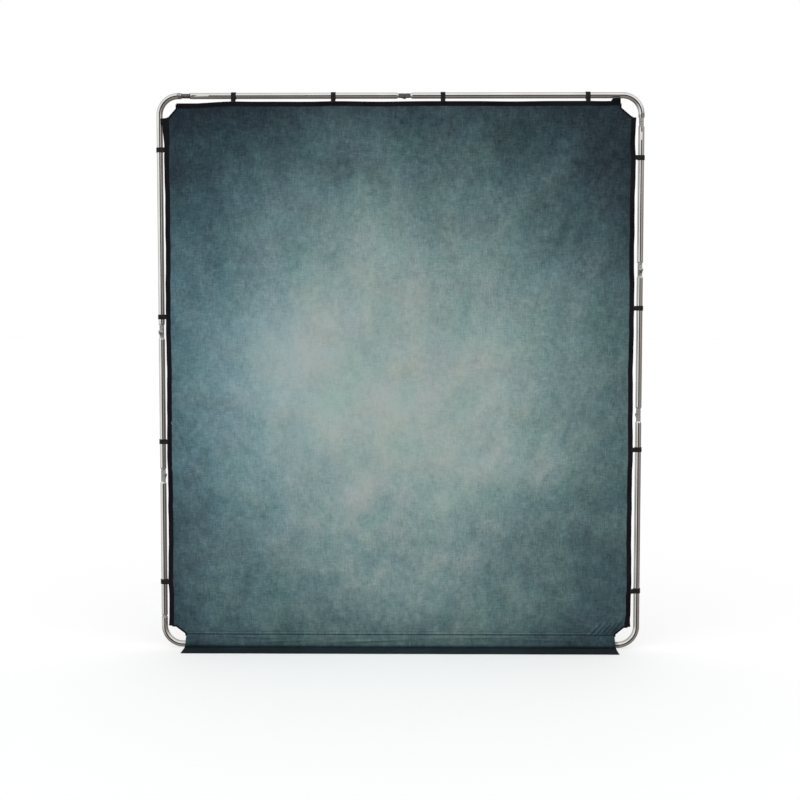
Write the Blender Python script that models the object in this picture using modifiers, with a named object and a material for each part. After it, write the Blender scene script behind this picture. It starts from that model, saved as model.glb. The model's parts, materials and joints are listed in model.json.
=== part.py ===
"""Collapsible studio backdrop panel: a folding tube frame with a clipped-on cloth cover.

Ten hollow tubes make the rectangle. Six hinges fold it and four spring-button spigots take it apart.
Metres, +Z up. The cover faces -Y. The origin is the middle of the bounding box, on the floor.
"""
import math

import bmesh
import bpy
from mathutils import Matrix, Vector

# ---- driving dimensions -------------------------------------------------------------------
FRAME_WIDTH = 2.0
FRAME_HEIGHT = 2.3
TUBE_RADIUS = 0.0125
TUBE_WALL = 0.0015
TUBE_SIDES_LEVEL = 6  # a bevelled curve has 4 + 2 * level sides
BEND_RADIUS = 0.078
BEND_STEPS = 8
RING_SIDES = 16
GAP = 0.0003  # clearance between pieces that touch

SWAGE_RADIUS = 0.0095  # a tube narrows to this where it takes a hinge
SWAGE_LENGTH = 0.008

HINGE_HALF = 0.024  # from the middle of a hinge to the tube's end
HINGE_BLOCK = (0.017, 0.018)  # width across the fold axis, depth
HINGE_OFFSET = 0.022  # from the tube's centre line to the pivot
KNUCKLE_RADIUS = 0.0065
EYE_WIDTH = 0.010
LUG_STEP = 0.0004  # the knuckle stands this proud of its lug
HINGE_PLUG = (0.0077, 0.022)  # radius, length inside the tube
PIN_RADIUS = 0.003
PIN_HEAD = (0.0045, 0.0012)
PIN_CLEARANCE = 0.0003

SPIGOT_RADIUS = 0.0107
SPIGOT_BORE = 0.0072
NECK_RADIUS = 0.0095
LONG_NECK = 0.045
SHORT_NECK = 0.014
SPIGOT_DEPTH = 0.040
SHORT_DEPTH = 0.031
STUB = 0.004
COLLAR_RADIUS = TUBE_RADIUS - 0.0005
COLLAR_LENGTH = 0.003
COLLAR_TAPER = 0.002
TIP_CHAMFER = (0.0008, 0.002)  # radius taken off, length
BUTTON_RADIUS = 0.0031
BUTTON_CHAMFER = 0.0009
BUTTON_FOOT = 0.0001
BUTTON_PROUD = 0.0022

CLIP_INNER = 0.0128
CLIP_OUTER = 0.0152
CLIP_LENGTH = 0.020
CLIP_MOUTH = 0.016
CLIP_MOUTH_START = 0.004  # behind the tube's centre line
CLIP_TAB_BACK = CLIP_OUTER - 0.0012
CLIP_TAB_INSIDE = 0.004  # how far the tab laps the ring, past the tube's centre line

COVER_THICKNESS = 0.003
COVER_FRONT = 0.0175  # from the tubes' centre plane forward to the cloth's middle
EDGING_WIDTH = 0.020
EDGING_THICKNESS = 0.004
APRON_REACH = 0.125  # how far forward of the tubes the cloth lies on the floor
APRON_THICKNESS = 0.003

# places, measured from the frame's middle and from the floor
TUBE_X = FRAME_WIDTH / 2 - TUBE_RADIUS
TUBE_BOTTOM = TUBE_RADIUS
TUBE_TOP = FRAME_HEIGHT - TUBE_RADIUS
FOLD_X = 0.0185
LEFT_HINGES = (0.7225, 1.322)
RIGHT_HINGES = (0.978, 1.577)
BACK_REACH = HINGE_OFFSET + KNUCKLE_RADIUS
PLANE_Y = (APRON_REACH - BACK_REACH) / 2
BEND_END = TUBE_X - BEND_RADIUS
BOTTOM_BEND_END = TUBE_BOTTOM + BEND_RADIUS
TOP_BEND_END = TUBE_TOP - BEND_RADIUS
LEFT_MOUTH = BOTTOM_BEND_END + 0.034

CLIPS_TOP = (-0.682, -0.273, 0.176, 0.768)
CLIPS_LEFT = (0.277, 0.865, 1.383, 2.068)
CLIPS_RIGHT = (0.2425, 0.834, 1.419, 2.034)

COVER_LEFT = -0.968
COVER_RIGHT = 0.964
COVER_TOP = 2.264
TOP_ENDS = (-0.915, 0.900)  # where the top edging stops at each cut-off corner
SIDE_TOP = 2.196
SIDE_BOTTOM = 0.092
CORNER_DROP = 0.031  # the cut corner's short upright part, below the top edging
CORNER_STEP = 0.012  # its short level part, beside the side edging's lower end
SKIRT_SEAM = 0.056
SKIRT_HALF = 0.900

ALUMINIUM = ("aluminium", (0.80, 0.80, 0.79), 0.22, 1.0)
STEEL = ("steel", (0.62, 0.62, 0.61), 0.30, 1.0)
BLACK = ("black", (0.015, 0.015, 0.017), 0.55, 0.0)
CLOTH = ("cloth", (0.07, 0.12, 0.14), 0.95, 0.0)

for old in list(bpy.data.objects):
    bpy.data.objects.remove(old, do_unlink=True)

pieces = bpy.data.collections.new("backdrop_panel")
cutters = bpy.data.collections.new("cutters")
bpy.context.scene.collection.children.link(pieces)
bpy.context.scene.collection.children.link(cutters)


# ---- helpers ------------------------------------------------------------------------------
def material(name, kind):
    """A Principled material in one of the four finishes."""
    _, colour, roughness, metallic = kind
    made = bpy.data.materials.new(f"{name}_{kind[0]}")
    made.use_nodes = True
    shader = made.node_tree.nodes["Principled BSDF"]
    shader.inputs["Base Color"].default_value = (*colour, 1.0)
    shader.inputs["Roughness"].default_value = roughness
    shader.inputs["Metallic"].default_value = metallic
    made.diffuse_color = (*colour, 1.0)
    return made


def evaluated_mesh(obj):
    """The mesh that an object's curve or modifiers make."""
    bpy.context.view_layer.update()
    graph = bpy.context.evaluated_depsgraph_get()
    return bpy.data.meshes.new_from_object(obj.evaluated_get(graph))


def from_bmesh(bm, name):
    mesh = bpy.data.meshes.new(name)
    bm.to_mesh(mesh)
    bm.free()
    obj = bpy.data.objects.new(name, mesh)
    cutters.objects.link(obj)
    return obj


def box(low, high, bevel=0.0):
    """A box between two corners, with its edges bevelled if asked."""
    low, high = Vector(low), Vector(high)
    size = high - low
    bm = bmesh.new()
    bmesh.ops.create_cube(bm, size=1.0)
    bmesh.ops.scale(bm, vec=size, verts=bm.verts)
    bmesh.ops.translate(bm, vec=(low + high) / 2, verts=bm.verts)
    if bevel:
        bmesh.ops.bevel(bm, geom=bm.edges[:], offset=bevel, segments=1, affect="EDGES")
    return from_bmesh(bm, "box")


def rod(radius, start, end, sides=16, end_radius=None):
    """A cylinder between two points, or a cone if the end's radius differs."""
    start, end = Vector(start), Vector(end)
    along = end - start
    bm = bmesh.new()
    bmesh.ops.create_cone(
        bm,
        cap_ends=True,
        segments=sides,
        radius1=radius,
        radius2=radius if end_radius is None else end_radius,
        depth=along.length,
    )
    turn = along.to_track_quat("Z", "Y").to_matrix().to_4x4()
    bm.transform(Matrix.Translation((start + end) / 2) @ turn)
    return from_bmesh(bm, "rod")


def turned(profile, sides):
    """A ring turned about Z from a closed profile of (radius, height), outer side first, downwards."""
    mesh = bpy.data.meshes.new("profile")
    rows = [(radius, 0.0, height) for radius, height in profile]
    links = [(i, (i + 1) % len(rows)) for i in range(len(rows))]
    mesh.from_pydata(rows, links, [])
    obj = bpy.data.objects.new("turned", mesh)
    cutters.objects.link(obj)
    screw = obj.modifiers.new("screw", "SCREW")
    screw.steps = sides
    screw.render_steps = sides
    screw.use_merge_vertices = True
    screw.merge_threshold = 0.00001
    return baked(obj)


def baked(obj):
    """The same object with its modifiers applied."""
    mesh = evaluated_mesh(obj)
    obj.modifiers.clear()
    obj.data = mesh
    return obj


def combined(base, others, operation):
    """The base joined with, or cut by, each of the others, which are then removed."""
    for other in others:
        boolean = base.modifiers.new("boolean", "BOOLEAN")
        boolean.operation = operation
        boolean.solver = "EXACT"
        boolean.object = other
        baked(base)
        bpy.data.objects.remove(other, do_unlink=True)
    return base


def empty(name, place):
    """The pivot of a moving body: its pieces are its children."""
    obj = bpy.data.objects.new(name, None)
    obj.location = place
    obj.empty_display_size = 0.03
    pieces.objects.link(obj)
    return obj


def node(name, mesh, kind, parent, matrix=None, smooth=35.0):
    """A finished piece: its own object and material, placed in the world and parented."""
    mesh = mesh.copy()
    mesh.materials.clear()
    mesh.materials.append(material(name, kind))
    mesh.shade_smooth()
    mesh.set_sharp_from_angle(angle=math.radians(smooth))
    obj = bpy.data.objects.new(name, mesh)
    pieces.objects.link(obj)
    obj.matrix_world = matrix or Matrix.Identity(4)
    obj.parent = parent
    obj.matrix_parent_inverse = Matrix.Translation(parent.location).inverted()
    return obj


def taken(obj):
    """The mesh of a helper object, which is removed."""
    mesh = obj.data
    bpy.data.objects.remove(obj, do_unlink=True)
    return mesh


def tube(points, radii):
    """A hollow tube along a path, with a radius at each point: an open bevelled curve, thickened."""
    curve = bpy.data.curves.new("tube", "CURVE")
    curve.dimensions = "3D"
    curve.bevel_depth = TUBE_RADIUS
    curve.bevel_resolution = TUBE_SIDES_LEVEL
    spline = curve.splines.new("POLY")
    spline.points.add(len(points) - 1)
    for point, place, radius in zip(spline.points, points, radii):
        point.co = (*place, 1.0)
        point.radius = radius / TUBE_RADIUS
    path = bpy.data.objects.new("path", curve)
    cutters.objects.link(path)
    mesh = evaluated_mesh(path)
    bpy.data.objects.remove(path, do_unlink=True)
    obj = bpy.data.objects.new("tube", mesh)
    cutters.objects.link(obj)
    bm = bmesh.new()
    bm.from_mesh(mesh)
    bmesh.ops.remove_doubles(bm, verts=bm.verts, dist=0.00001)
    bmesh.ops.recalc_face_normals(bm, faces=bm.faces)
    bm.to_mesh(mesh)
    bm.free()
    shell = obj.modifiers.new("wall", "SOLIDIFY")
    shell.thickness = TUBE_WALL
    shell.offset = -1.0
    shell.use_rim = True
    return baked(obj)


def end_points(start, towards, swaged):
    """The first points of a run of tube: one at its end, and more where it narrows for a hinge."""
    start = Vector(start)
    step = (Vector(towards) - start).normalized()
    if not swaged:
        return [start], [TUBE_RADIUS]
    places = [start, start + step * SWAGE_LENGTH * 0.35, start + step * SWAGE_LENGTH]
    return places, [SWAGE_RADIUS, SWAGE_RADIUS, TUBE_RADIUS]


def straight_tube(start, end, swaged_start, swaged_end):
    points, radii = end_points(start, end, swaged_start)
    last, last_radii = end_points(end, start, swaged_end)
    return tube(points + last[::-1], radii + last_radii[::-1])


def corner_tube(short_end, corner, long_end):
    """An L of tube: a plain short leg, a bend round the corner, and a long leg swaged for a hinge."""
    corner = Vector(corner)
    into = (corner - Vector(short_end)).normalized()
    out = (Vector(long_end) - corner).normalized()
    centre = corner - into * BEND_RADIUS + out * BEND_RADIUS
    turn = [math.pi / 2 * i / BEND_STEPS for i in range(BEND_STEPS + 1)]
    arc = [centre + BEND_RADIUS * (into * math.sin(a) - out * math.cos(a)) for a in turn]
    last, last_radii = end_points(long_end, corner, True)
    points = [Vector(short_end)] + arc + last[::-1]
    return tube(points, [TUBE_RADIUS] * (len(arc) + 1) + last_radii[::-1])


def sheet(outline, thickness):
    """A flat closed piece from its outline in the frame's plane, given as (x, z) points."""
    curve = bpy.data.curves.new("outline", "CURVE")
    curve.dimensions = "2D"
    curve.fill_mode = "BOTH"
    curve.extrude = thickness / 2
    spline = curve.splines.new("POLY")
    spline.points.add(len(outline) - 1)
    for point, (x, z) in zip(spline.points, outline):
        point.co = (x, z, 0.0, 1.0)
    spline.use_cyclic_u = True
    obj = bpy.data.objects.new("outline", curve)
    cutters.objects.link(obj)
    mesh = evaluated_mesh(obj)
    bpy.data.objects.remove(obj, do_unlink=True)
    bm = bmesh.new()
    bm.from_mesh(mesh)
    bmesh.ops.remove_doubles(bm, verts=bm.verts, dist=0.00001)
    bmesh.ops.recalc_face_normals(bm, faces=bm.faces)
    bm.to_mesh(mesh)
    bm.free()
    return mesh


# ---- shared small pieces, made about their tube's centre line, which runs along Z ----------
def hinge_plug(direction):
    """The round shank of a hinge half, which is pressed into the swaged end of a tube."""
    radius, length = HINGE_PLUG
    start = direction * (HINGE_HALF - 0.002)
    return rod(radius, (0, 0, start), (0, 0, direction * (HINGE_HALF + length)))


def hinge_half(direction, lug_width):
    """A hinge half: a block, a lug reaching back to the pivot, and a shank for the tube."""
    wide, deep = (size / 2 for size in HINGE_BLOCK)
    ends = sorted((direction * GAP, direction * (HINGE_HALF - GAP)))
    lug_ends = sorted((direction * GAP * 3, direction * HINGE_HALF / 2))
    half = lug_width / 2
    lug_half = half - LUG_STEP
    block = box((-wide, -deep, ends[0]), (wide, deep, ends[1]), bevel=0.0012)
    lug = box((-lug_half, 0, lug_ends[0]), (lug_half, HINGE_OFFSET, lug_ends[1]))
    knuckle = rod(KNUCKLE_RADIUS, (-half, HINGE_OFFSET, 0), (half, HINGE_OFFSET, 0))
    return combined(block, [lug, knuckle, hinge_plug(direction)], "UNION")


def pin_hole():
    reach = HINGE_BLOCK[0]
    radius = PIN_RADIUS + PIN_CLEARANCE
    return rod(radius, (-reach, HINGE_OFFSET, 0), (reach, HINGE_OFFSET, 0))


def fork_mesh():
    """The half with two cheeks, with a slot between them for the eye."""
    half = EYE_WIDTH / 2 + GAP
    top = HINGE_OFFSET * 2
    slot = box((-half, HINGE_BLOCK[1] / 2 + GAP, -HINGE_HALF), (half, top, HINGE_HALF))
    return taken(combined(hinge_half(-1, HINGE_BLOCK[0]), [slot, pin_hole()], "DIFFERENCE"))


def eye_mesh():
    return taken(combined(hinge_half(1, EYE_WIDTH), [pin_hole()], "DIFFERENCE"))


def pin_mesh():
    """A headed pin through the cheeks and the eye."""
    inside = HINGE_BLOCK[0] / 2 + GAP
    head, thickness = PIN_HEAD
    outside = inside + thickness
    shank = rod(PIN_RADIUS, (-outside, HINGE_OFFSET, 0), (outside, HINGE_OFFSET, 0), sides=12)
    heads = [
        rod(head, (side * inside, HINGE_OFFSET, 0), (side * outside, HINGE_OFFSET, 0), sides=12)
        for side in (-1, 1)
    ]
    return taken(combined(shank, heads, "UNION"))


def clip_mesh(reach):
    """A snap clip: a ring open at the back, with a tab in front that reaches the edging."""
    half = CLIP_LENGTH / 2
    ring = turned(
        [(CLIP_OUTER, half), (CLIP_OUTER, -half), (CLIP_INNER, -half), (CLIP_INNER, half)],
        RING_SIDES,
    )
    mouth = CLIP_MOUTH / 2
    cut = box((-mouth, CLIP_MOUTH_START, -CLIP_LENGTH), (mouth, CLIP_OUTER * 2, CLIP_LENGTH))
    ring = combined(ring, [cut], "DIFFERENCE")
    front = COVER_FRONT + COVER_THICKNESS / 2
    tab = box((-CLIP_TAB_INSIDE, -front, -half), (reach - GAP, -CLIP_TAB_BACK, half))
    return taken(combined(ring, [tab], "UNION"))


def spigot_profile(neck, depth):
    """Outer side downwards, then the bore: the insert, a waisted neck with two collars, a stub."""
    tip = neck + depth
    chamfer, chamfer_length = TIP_CHAMFER
    waist = COLLAR_LENGTH + COLLAR_TAPER
    return [
        (SPIGOT_RADIUS - chamfer, tip),
        (SPIGOT_RADIUS, tip - chamfer_length),
        (SPIGOT_RADIUS, neck - GAP),
        (COLLAR_RADIUS, neck - GAP),
        (COLLAR_RADIUS, neck - COLLAR_LENGTH),
        (NECK_RADIUS, neck - waist),
        (NECK_RADIUS, waist),
        (COLLAR_RADIUS, COLLAR_LENGTH),
        (COLLAR_RADIUS, GAP),
        (SPIGOT_RADIUS, GAP),
        (SPIGOT_RADIUS, -STUB),
        (SPIGOT_BORE, -STUB),
        (SPIGOT_BORE, tip),
    ]


def button_hole(place):
    """A hole through a front wall only."""
    radius = BUTTON_RADIUS + GAP
    x, y, z = place
    return rod(radius, (x, y - TUBE_RADIUS * 1.4, z), (x, y - TUBE_RADIUS * 0.3, z))


def spigot_mesh(neck, depth, button_at):
    ring = turned(spigot_profile(neck, depth), RING_SIDES)
    return taken(combined(ring, [button_hole((0, 0, button_at))], "DIFFERENCE"))


def neck_mesh(neck):
    """The same spigot, cut off level with the end of its neck."""
    outer_side = spigot_profile(neck, SPIGOT_DEPTH)[3:-1]
    return taken(turned(outer_side + [(SPIGOT_BORE, neck - GAP)], RING_SIDES))


def core_mesh(neck, depth, button_at):
    """The insert alone, as it sits inside the tube."""
    tip = neck + depth
    profile = [
        (SPIGOT_RADIUS, tip),
        (SPIGOT_RADIUS, neck + GAP),
        (SPIGOT_BORE, neck + GAP),
        (SPIGOT_BORE, tip),
    ]
    ring = turned(profile, RING_SIDES)
    return taken(combined(ring, [button_hole((0, 0, button_at))], "DIFFERENCE"))


def button_mesh():
    """A release button: a short pin with a chamfered head, carried in the wall of the outer tube."""
    face = -TUBE_RADIUS - BUTTON_PROUD
    foot = -TUBE_RADIUS + TUBE_WALL + BUTTON_FOOT
    shank = rod(BUTTON_RADIUS, (0, foot, 0), (0, face + BUTTON_CHAMFER, 0), sides=12)
    tip = BUTTON_RADIUS - BUTTON_CHAMFER
    head = rod(
        BUTTON_RADIUS, (0, face + BUTTON_CHAMFER * 1.1, 0), (0, face, 0), sides=12, end_radius=tip
    )
    return taken(combined(shank, [head], "UNION"))


# ---- placing ------------------------------------------------------------------------------
def at(x, z):
    return Vector((x, PLANE_Y, z))


def placed(x, z, degrees=0.0, axis="Y"):
    """On a tube's centre line, turned from the upright position."""
    return Matrix.Translation(at(x, z)) @ Matrix.Rotation(math.radians(degrees), 4, axis)


ALONG_X = 90.0
AGAINST_X = -90.0
DOWNWARD = 180.0

SHORT_LEG_END = BEND_END - 0.006
TOP_SHORT_LEG_END = TOP_BEND_END - 0.006
LEFT_START = LEFT_MOUTH + SHORT_NECK
SHORT_BUTTON = SHORT_NECK + 0.020
LONG_BUTTON = LONG_NECK + 0.010

pivot_y = PLANE_Y + HINGE_OFFSET
front_pivot_y = PLANE_Y - HINGE_OFFSET
left_base = empty("pivot_left_base", (0, PLANE_Y, 0))
right_base = empty("pivot_book_fold", (FOLD_X, pivot_y, TUBE_BOTTOM))
right_corner = empty("pivot_right_corner_spigot", at(SHORT_LEG_END, TUBE_BOTTOM))
right_lower = empty("pivot_right_lower_fold", (TUBE_X, pivot_y, RIGHT_HINGES[0]))
right_upper = empty("pivot_right_upper_fold", (TUBE_X, front_pivot_y, RIGHT_HINGES[1]))
top_corner = empty("pivot_top_corner_spigot", at(TUBE_X, TOP_SHORT_LEG_END))
top_bar = empty("pivot_top_fold", (FOLD_X, pivot_y, TUBE_TOP))
left_lower = empty("pivot_left_lower_spigot", at(-TUBE_X, LEFT_START))
left_middle = empty("pivot_left_lower_fold", (-TUBE_X, pivot_y, LEFT_HINGES[0]))
left_corner = empty("pivot_left_upper_fold", (-TUBE_X, front_pivot_y, LEFT_HINGES[1]))

low_left, low_right = LEFT_HINGES[0], RIGHT_HINGES[0]
high_left, high_right = LEFT_HINGES[1], RIGHT_HINGES[1]


def tube_node(name, obj, parent, button=None):
    if button is not None:
        obj = combined(obj, [button_hole(button)], "DIFFERENCE")
    node(name, taken(obj), ALUMINIUM, parent)


def make_tubes():
    tube_node(
        "corner_tube_bottom_left",
        corner_tube(
            at(-TUBE_X, LEFT_MOUTH),
            at(-TUBE_X, TUBE_BOTTOM),
            at(FOLD_X - HINGE_HALF, TUBE_BOTTOM),
        ),
        left_base,
        button=at(-TUBE_X, LEFT_START - SHORT_BUTTON),
    )
    tube_node(
        "tube_bottom",
        straight_tube(
            at(FOLD_X + HINGE_HALF, TUBE_BOTTOM),
            at(SHORT_LEG_END - LONG_NECK, TUBE_BOTTOM),
            True,
            False,
        ),
        right_base,
        button=at(SHORT_LEG_END - LONG_BUTTON, TUBE_BOTTOM),
    )
    tube_node(
        "corner_tube_bottom_right",
        corner_tube(
            at(SHORT_LEG_END, TUBE_BOTTOM),
            at(TUBE_X, TUBE_BOTTOM),
            at(TUBE_X, low_right - HINGE_HALF),
        ),
        right_corner,
    )
    tube_node(
        "tube_right_lower",
        straight_tube(
            at(TUBE_X, low_right + HINGE_HALF), at(TUBE_X, high_right - HINGE_HALF), True, True
        ),
        right_lower,
    )
    tube_node(
        "tube_right_upper",
        straight_tube(
            at(TUBE_X, high_right + HINGE_HALF),
            at(TUBE_X, TOP_SHORT_LEG_END - LONG_NECK),
            True,
            False,
        ),
        right_upper,
        button=at(TUBE_X, TOP_SHORT_LEG_END - LONG_BUTTON),
    )
    tube_node(
        "corner_tube_top_right",
        corner_tube(
            at(TUBE_X, TOP_SHORT_LEG_END), at(TUBE_X, TUBE_TOP), at(FOLD_X + HINGE_HALF, TUBE_TOP)
        ),
        top_corner,
    )
    tube_node(
        "tube_top",
        straight_tube(
            at(FOLD_X - HINGE_HALF, TUBE_TOP), at(LONG_NECK - SHORT_LEG_END, TUBE_TOP), True, False
        ),
        top_bar,
        button=at(LONG_BUTTON - SHORT_LEG_END, TUBE_TOP),
    )
    tube_node(
        "corner_tube_top_left",
        corner_tube(
            at(-SHORT_LEG_END, TUBE_TOP), at(-TUBE_X, TUBE_TOP), at(-TUBE_X, high_left + HINGE_HALF)
        ),
        left_corner,
    )
    tube_node(
        "tube_left_middle",
        straight_tube(
            at(-TUBE_X, low_left + HINGE_HALF), at(-TUBE_X, high_left - HINGE_HALF), True, True
        ),
        left_middle,
    )
    tube_node(
        "tube_left_lower",
        straight_tube(at(-TUBE_X, low_left - HINGE_HALF), at(-TUBE_X, LEFT_START), True, False),
        left_lower,
    )


def make_hinges():
    """Each hinge is a fork with its pin on one tube and an eye on the next."""
    fork, eye, pin = fork_mesh(), eye_mesh(), pin_mesh()
    hinges = (
        ("bottom", placed(FOLD_X, TUBE_BOTTOM, ALONG_X), left_base, right_base),
        ("top", placed(FOLD_X, TUBE_TOP, ALONG_X), top_bar, top_corner),
        ("left_lower", placed(-TUBE_X, low_left), left_lower, left_middle),
        ("left_upper", placed(-TUBE_X, high_left, 180.0, "Z"), left_middle, left_corner),
        ("right_lower", placed(TUBE_X, low_right), right_corner, right_lower),
        ("right_upper", placed(TUBE_X, high_right, 180.0, "Z"), right_lower, right_upper),
    )
    for name, matrix, first, second in hinges:
        node(f"hinge_fork_{name}", fork, STEEL, first, matrix)
        node(f"hinge_pin_{name}", pin, STEEL, first, matrix)
        node(f"hinge_eye_{name}", eye, STEEL, second, matrix)


def make_spigots():
    """Three whole spigots, and at the top left a neck and a core that stay apart."""
    long_spigot = spigot_mesh(LONG_NECK, SPIGOT_DEPTH, LONG_BUTTON)
    left = placed(-TUBE_X, LEFT_START, DOWNWARD)
    bottom = placed(SHORT_LEG_END, TUBE_BOTTOM, AGAINST_X)
    right = placed(TUBE_X, TOP_SHORT_LEG_END, DOWNWARD)
    top = placed(-SHORT_LEG_END, TUBE_TOP, ALONG_X)
    short_spigot = spigot_mesh(SHORT_NECK, SHORT_DEPTH, SHORT_BUTTON)
    node("spigot_bottom_left", short_spigot, STEEL, left_lower, left)
    node("spigot_bottom_right", long_spigot, STEEL, right_corner, bottom)
    node("spigot_top_right", long_spigot, STEEL, top_corner, right)
    node("spigot_neck_top_left", neck_mesh(LONG_NECK), STEEL, left_corner, top)
    core = core_mesh(LONG_NECK, SPIGOT_DEPTH, LONG_BUTTON)
    node("spigot_core_top_left", core, STEEL, top_bar, top)
    buttons = (
        ("bottom_left", left, SHORT_BUTTON),
        ("bottom_right", bottom, LONG_BUTTON),
        ("top_right", right, LONG_BUTTON),
        ("top_left", top, LONG_BUTTON),
    )
    button = button_mesh()
    for name, spigot, along in buttons:
        place = spigot @ Vector((0, 0, along))
        pivot = empty(f"pivot_button_{name}", place)
        node(f"button_{name}", button, STEEL, pivot, Matrix.Translation(place))


def make_clips():
    """Snap clips, each riding on the tube that it grips."""
    left = clip_mesh(COVER_LEFT + TUBE_X)
    right = clip_mesh(TUBE_X - COVER_RIGHT)
    top = clip_mesh(TUBE_TOP - COVER_TOP)
    left_owners = (left_lower, left_middle, left_corner, left_corner)
    right_owners = (right_corner, right_corner, right_lower, right_upper)
    top_owners = (top_bar, top_bar, top_corner, top_corner)
    for i, (z, owner) in enumerate(zip(CLIPS_LEFT, left_owners), 1):
        node(f"clip_left_{i}", left, BLACK, owner, placed(-TUBE_X, z))
    for i, (z, owner) in enumerate(zip(CLIPS_RIGHT, right_owners), 1):
        node(f"clip_right_{i}", right, BLACK, owner, placed(TUBE_X, z, DOWNWARD))
    for i, (x, owner) in enumerate(zip(CLIPS_TOP, top_owners), 1):
        node(f"clip_top_{i}", top, BLACK, owner, placed(x, TUBE_TOP, ALONG_X))


def cover_outline(side, edge, top_end):
    """Half of the cloth inside its edging, from the fold line out to one side, corners cut off."""
    fold = FOLD_X + side * GAP
    inner = edge - side * (EDGING_WIDTH + GAP)
    top = COVER_TOP - EDGING_WIDTH - GAP
    return [
        (fold, GAP),
        (side * SKIRT_HALF, GAP),
        (side * SKIRT_HALF, SKIRT_SEAM),
        (inner - side * CORNER_STEP, SIDE_BOTTOM),
        (inner, SIDE_BOTTOM),
        (inner, SIDE_TOP),
        (top_end, COVER_TOP - CORNER_DROP),
        (top_end, top),
        (fold, top),
    ]


def make_cover():
    """The cloth in two halves that meet at the fold, its edging and the apron on the floor."""
    matrix = Matrix.Translation((0, PLANE_Y - COVER_FRONT, 0)) @ Matrix.Rotation(
        math.pi / 2, 4, "X"
    )
    halves = (
        ("left", -1, COVER_LEFT, TOP_ENDS[0], left_base),
        ("right", 1, COVER_RIGHT, TOP_ENDS[1], right_base),
    )
    front = PLANE_Y - COVER_FRONT - EDGING_THICKNESS / 2
    back = PLANE_Y - COVER_FRONT + EDGING_THICKNESS / 2
    apron_back = PLANE_Y - COVER_FRONT - COVER_THICKNESS / 2 - GAP
    for name, side, edge, top_end, owner in halves:
        outline = cover_outline(side, edge, top_end)
        node(f"cover_{name}", sheet(outline, COVER_THICKNESS), CLOTH, owner, matrix)
        xs = sorted((edge, edge - side * EDGING_WIDTH))
        upright = box((xs[0], front, SIDE_BOTTOM), (xs[1], back, SIDE_TOP))
        node(f"edging_{name}", taken(upright), BLACK, owner)
        xs = sorted((top_end, FOLD_X + side * GAP))
        level = box((xs[0], front, COVER_TOP - EDGING_WIDTH), (xs[1], back, COVER_TOP))
        node(f"edging_top_{name}", taken(level), BLACK, owner)
        xs = sorted((side * SKIRT_HALF, FOLD_X + side * GAP))
        apron = box((xs[0], PLANE_Y - APRON_REACH, 0), (xs[1], apron_back, APRON_THICKNESS))
        node(f"apron_{name}", taken(apron), CLOTH, owner)


make_tubes()
make_hinges()
make_spigots()
make_clips()
make_cover()
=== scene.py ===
# %% [markdown]
# # A collapsible backdrop panel
#
# The panel is a rectangle of aluminium tube that folds and comes apart, with one sheet of painted
# canvas clipped to its front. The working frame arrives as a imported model: its hinges, pins, buttons
# and one spigot's core keep their shapes here, and only get their finishes. The tubes, the spigots,
# the clips and all the cloth are made new.
#
# First come the frame, and the few places that everything else is measured from.

# %% Load the frame
import json

import bmesh
import bpy
import numpy as np
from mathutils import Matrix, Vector


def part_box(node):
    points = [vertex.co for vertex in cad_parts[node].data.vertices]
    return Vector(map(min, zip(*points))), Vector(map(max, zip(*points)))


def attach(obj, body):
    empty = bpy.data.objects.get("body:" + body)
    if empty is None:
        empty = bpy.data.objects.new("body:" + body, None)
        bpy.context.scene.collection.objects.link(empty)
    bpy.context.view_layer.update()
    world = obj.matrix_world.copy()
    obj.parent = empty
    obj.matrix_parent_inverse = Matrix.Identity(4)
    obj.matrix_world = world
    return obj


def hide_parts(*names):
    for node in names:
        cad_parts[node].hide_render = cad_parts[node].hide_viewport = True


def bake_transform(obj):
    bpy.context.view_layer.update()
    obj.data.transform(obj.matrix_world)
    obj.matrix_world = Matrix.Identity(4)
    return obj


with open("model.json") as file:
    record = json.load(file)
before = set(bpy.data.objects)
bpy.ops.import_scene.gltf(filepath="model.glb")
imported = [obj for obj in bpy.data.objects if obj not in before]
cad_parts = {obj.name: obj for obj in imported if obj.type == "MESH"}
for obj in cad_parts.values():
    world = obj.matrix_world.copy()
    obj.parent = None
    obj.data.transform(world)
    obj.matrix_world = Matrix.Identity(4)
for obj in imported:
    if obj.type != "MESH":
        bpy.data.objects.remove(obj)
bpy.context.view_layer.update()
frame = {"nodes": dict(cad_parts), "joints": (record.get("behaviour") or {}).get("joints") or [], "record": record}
nodes = frame["nodes"]
joints = {joint["name"]: joint for joint in frame["joints"]}


def span(node, axis):
    """The lowest and highest reach of a node along one axis."""
    low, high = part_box(node)
    return float(low[axis]), float(high[axis])


X, Y, Z = 0, 1, 2
TUBE_RADIUS = (span("tube_top", Z)[1] - span("tube_top", Z)[0]) / 2
LEFT_X = sum(span("tube_left_middle", X)) / 2
RIGHT_X = sum(span("tube_right_lower", X)) / 2
TOP_Z = sum(span("tube_top", Z)) / 2
BOTTOM_Z = sum(span("tube_bottom", Z)) / 2
PLANE_Y = sum(span("tube_top", Y)) / 2
CLOTH_Y = sum(span("cover_left", Y)) / 2
FOLD_X = float(joints["book_fold"]["pos_m"][X])
print("tube radius", round(TUBE_RADIUS, 4), "plane", round(PLANE_Y, 4), "fold", FOLD_X)

# %% [markdown]
# ## Surfaces from arrays
#
# Every new piece is a grid of points worked out at once, then joined row to row. One helper turns such
# a grid into a mesh, closes its ends or its round, and stores a UV map in metres, so that a weave can
# follow the cloth wherever it bends.

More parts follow.
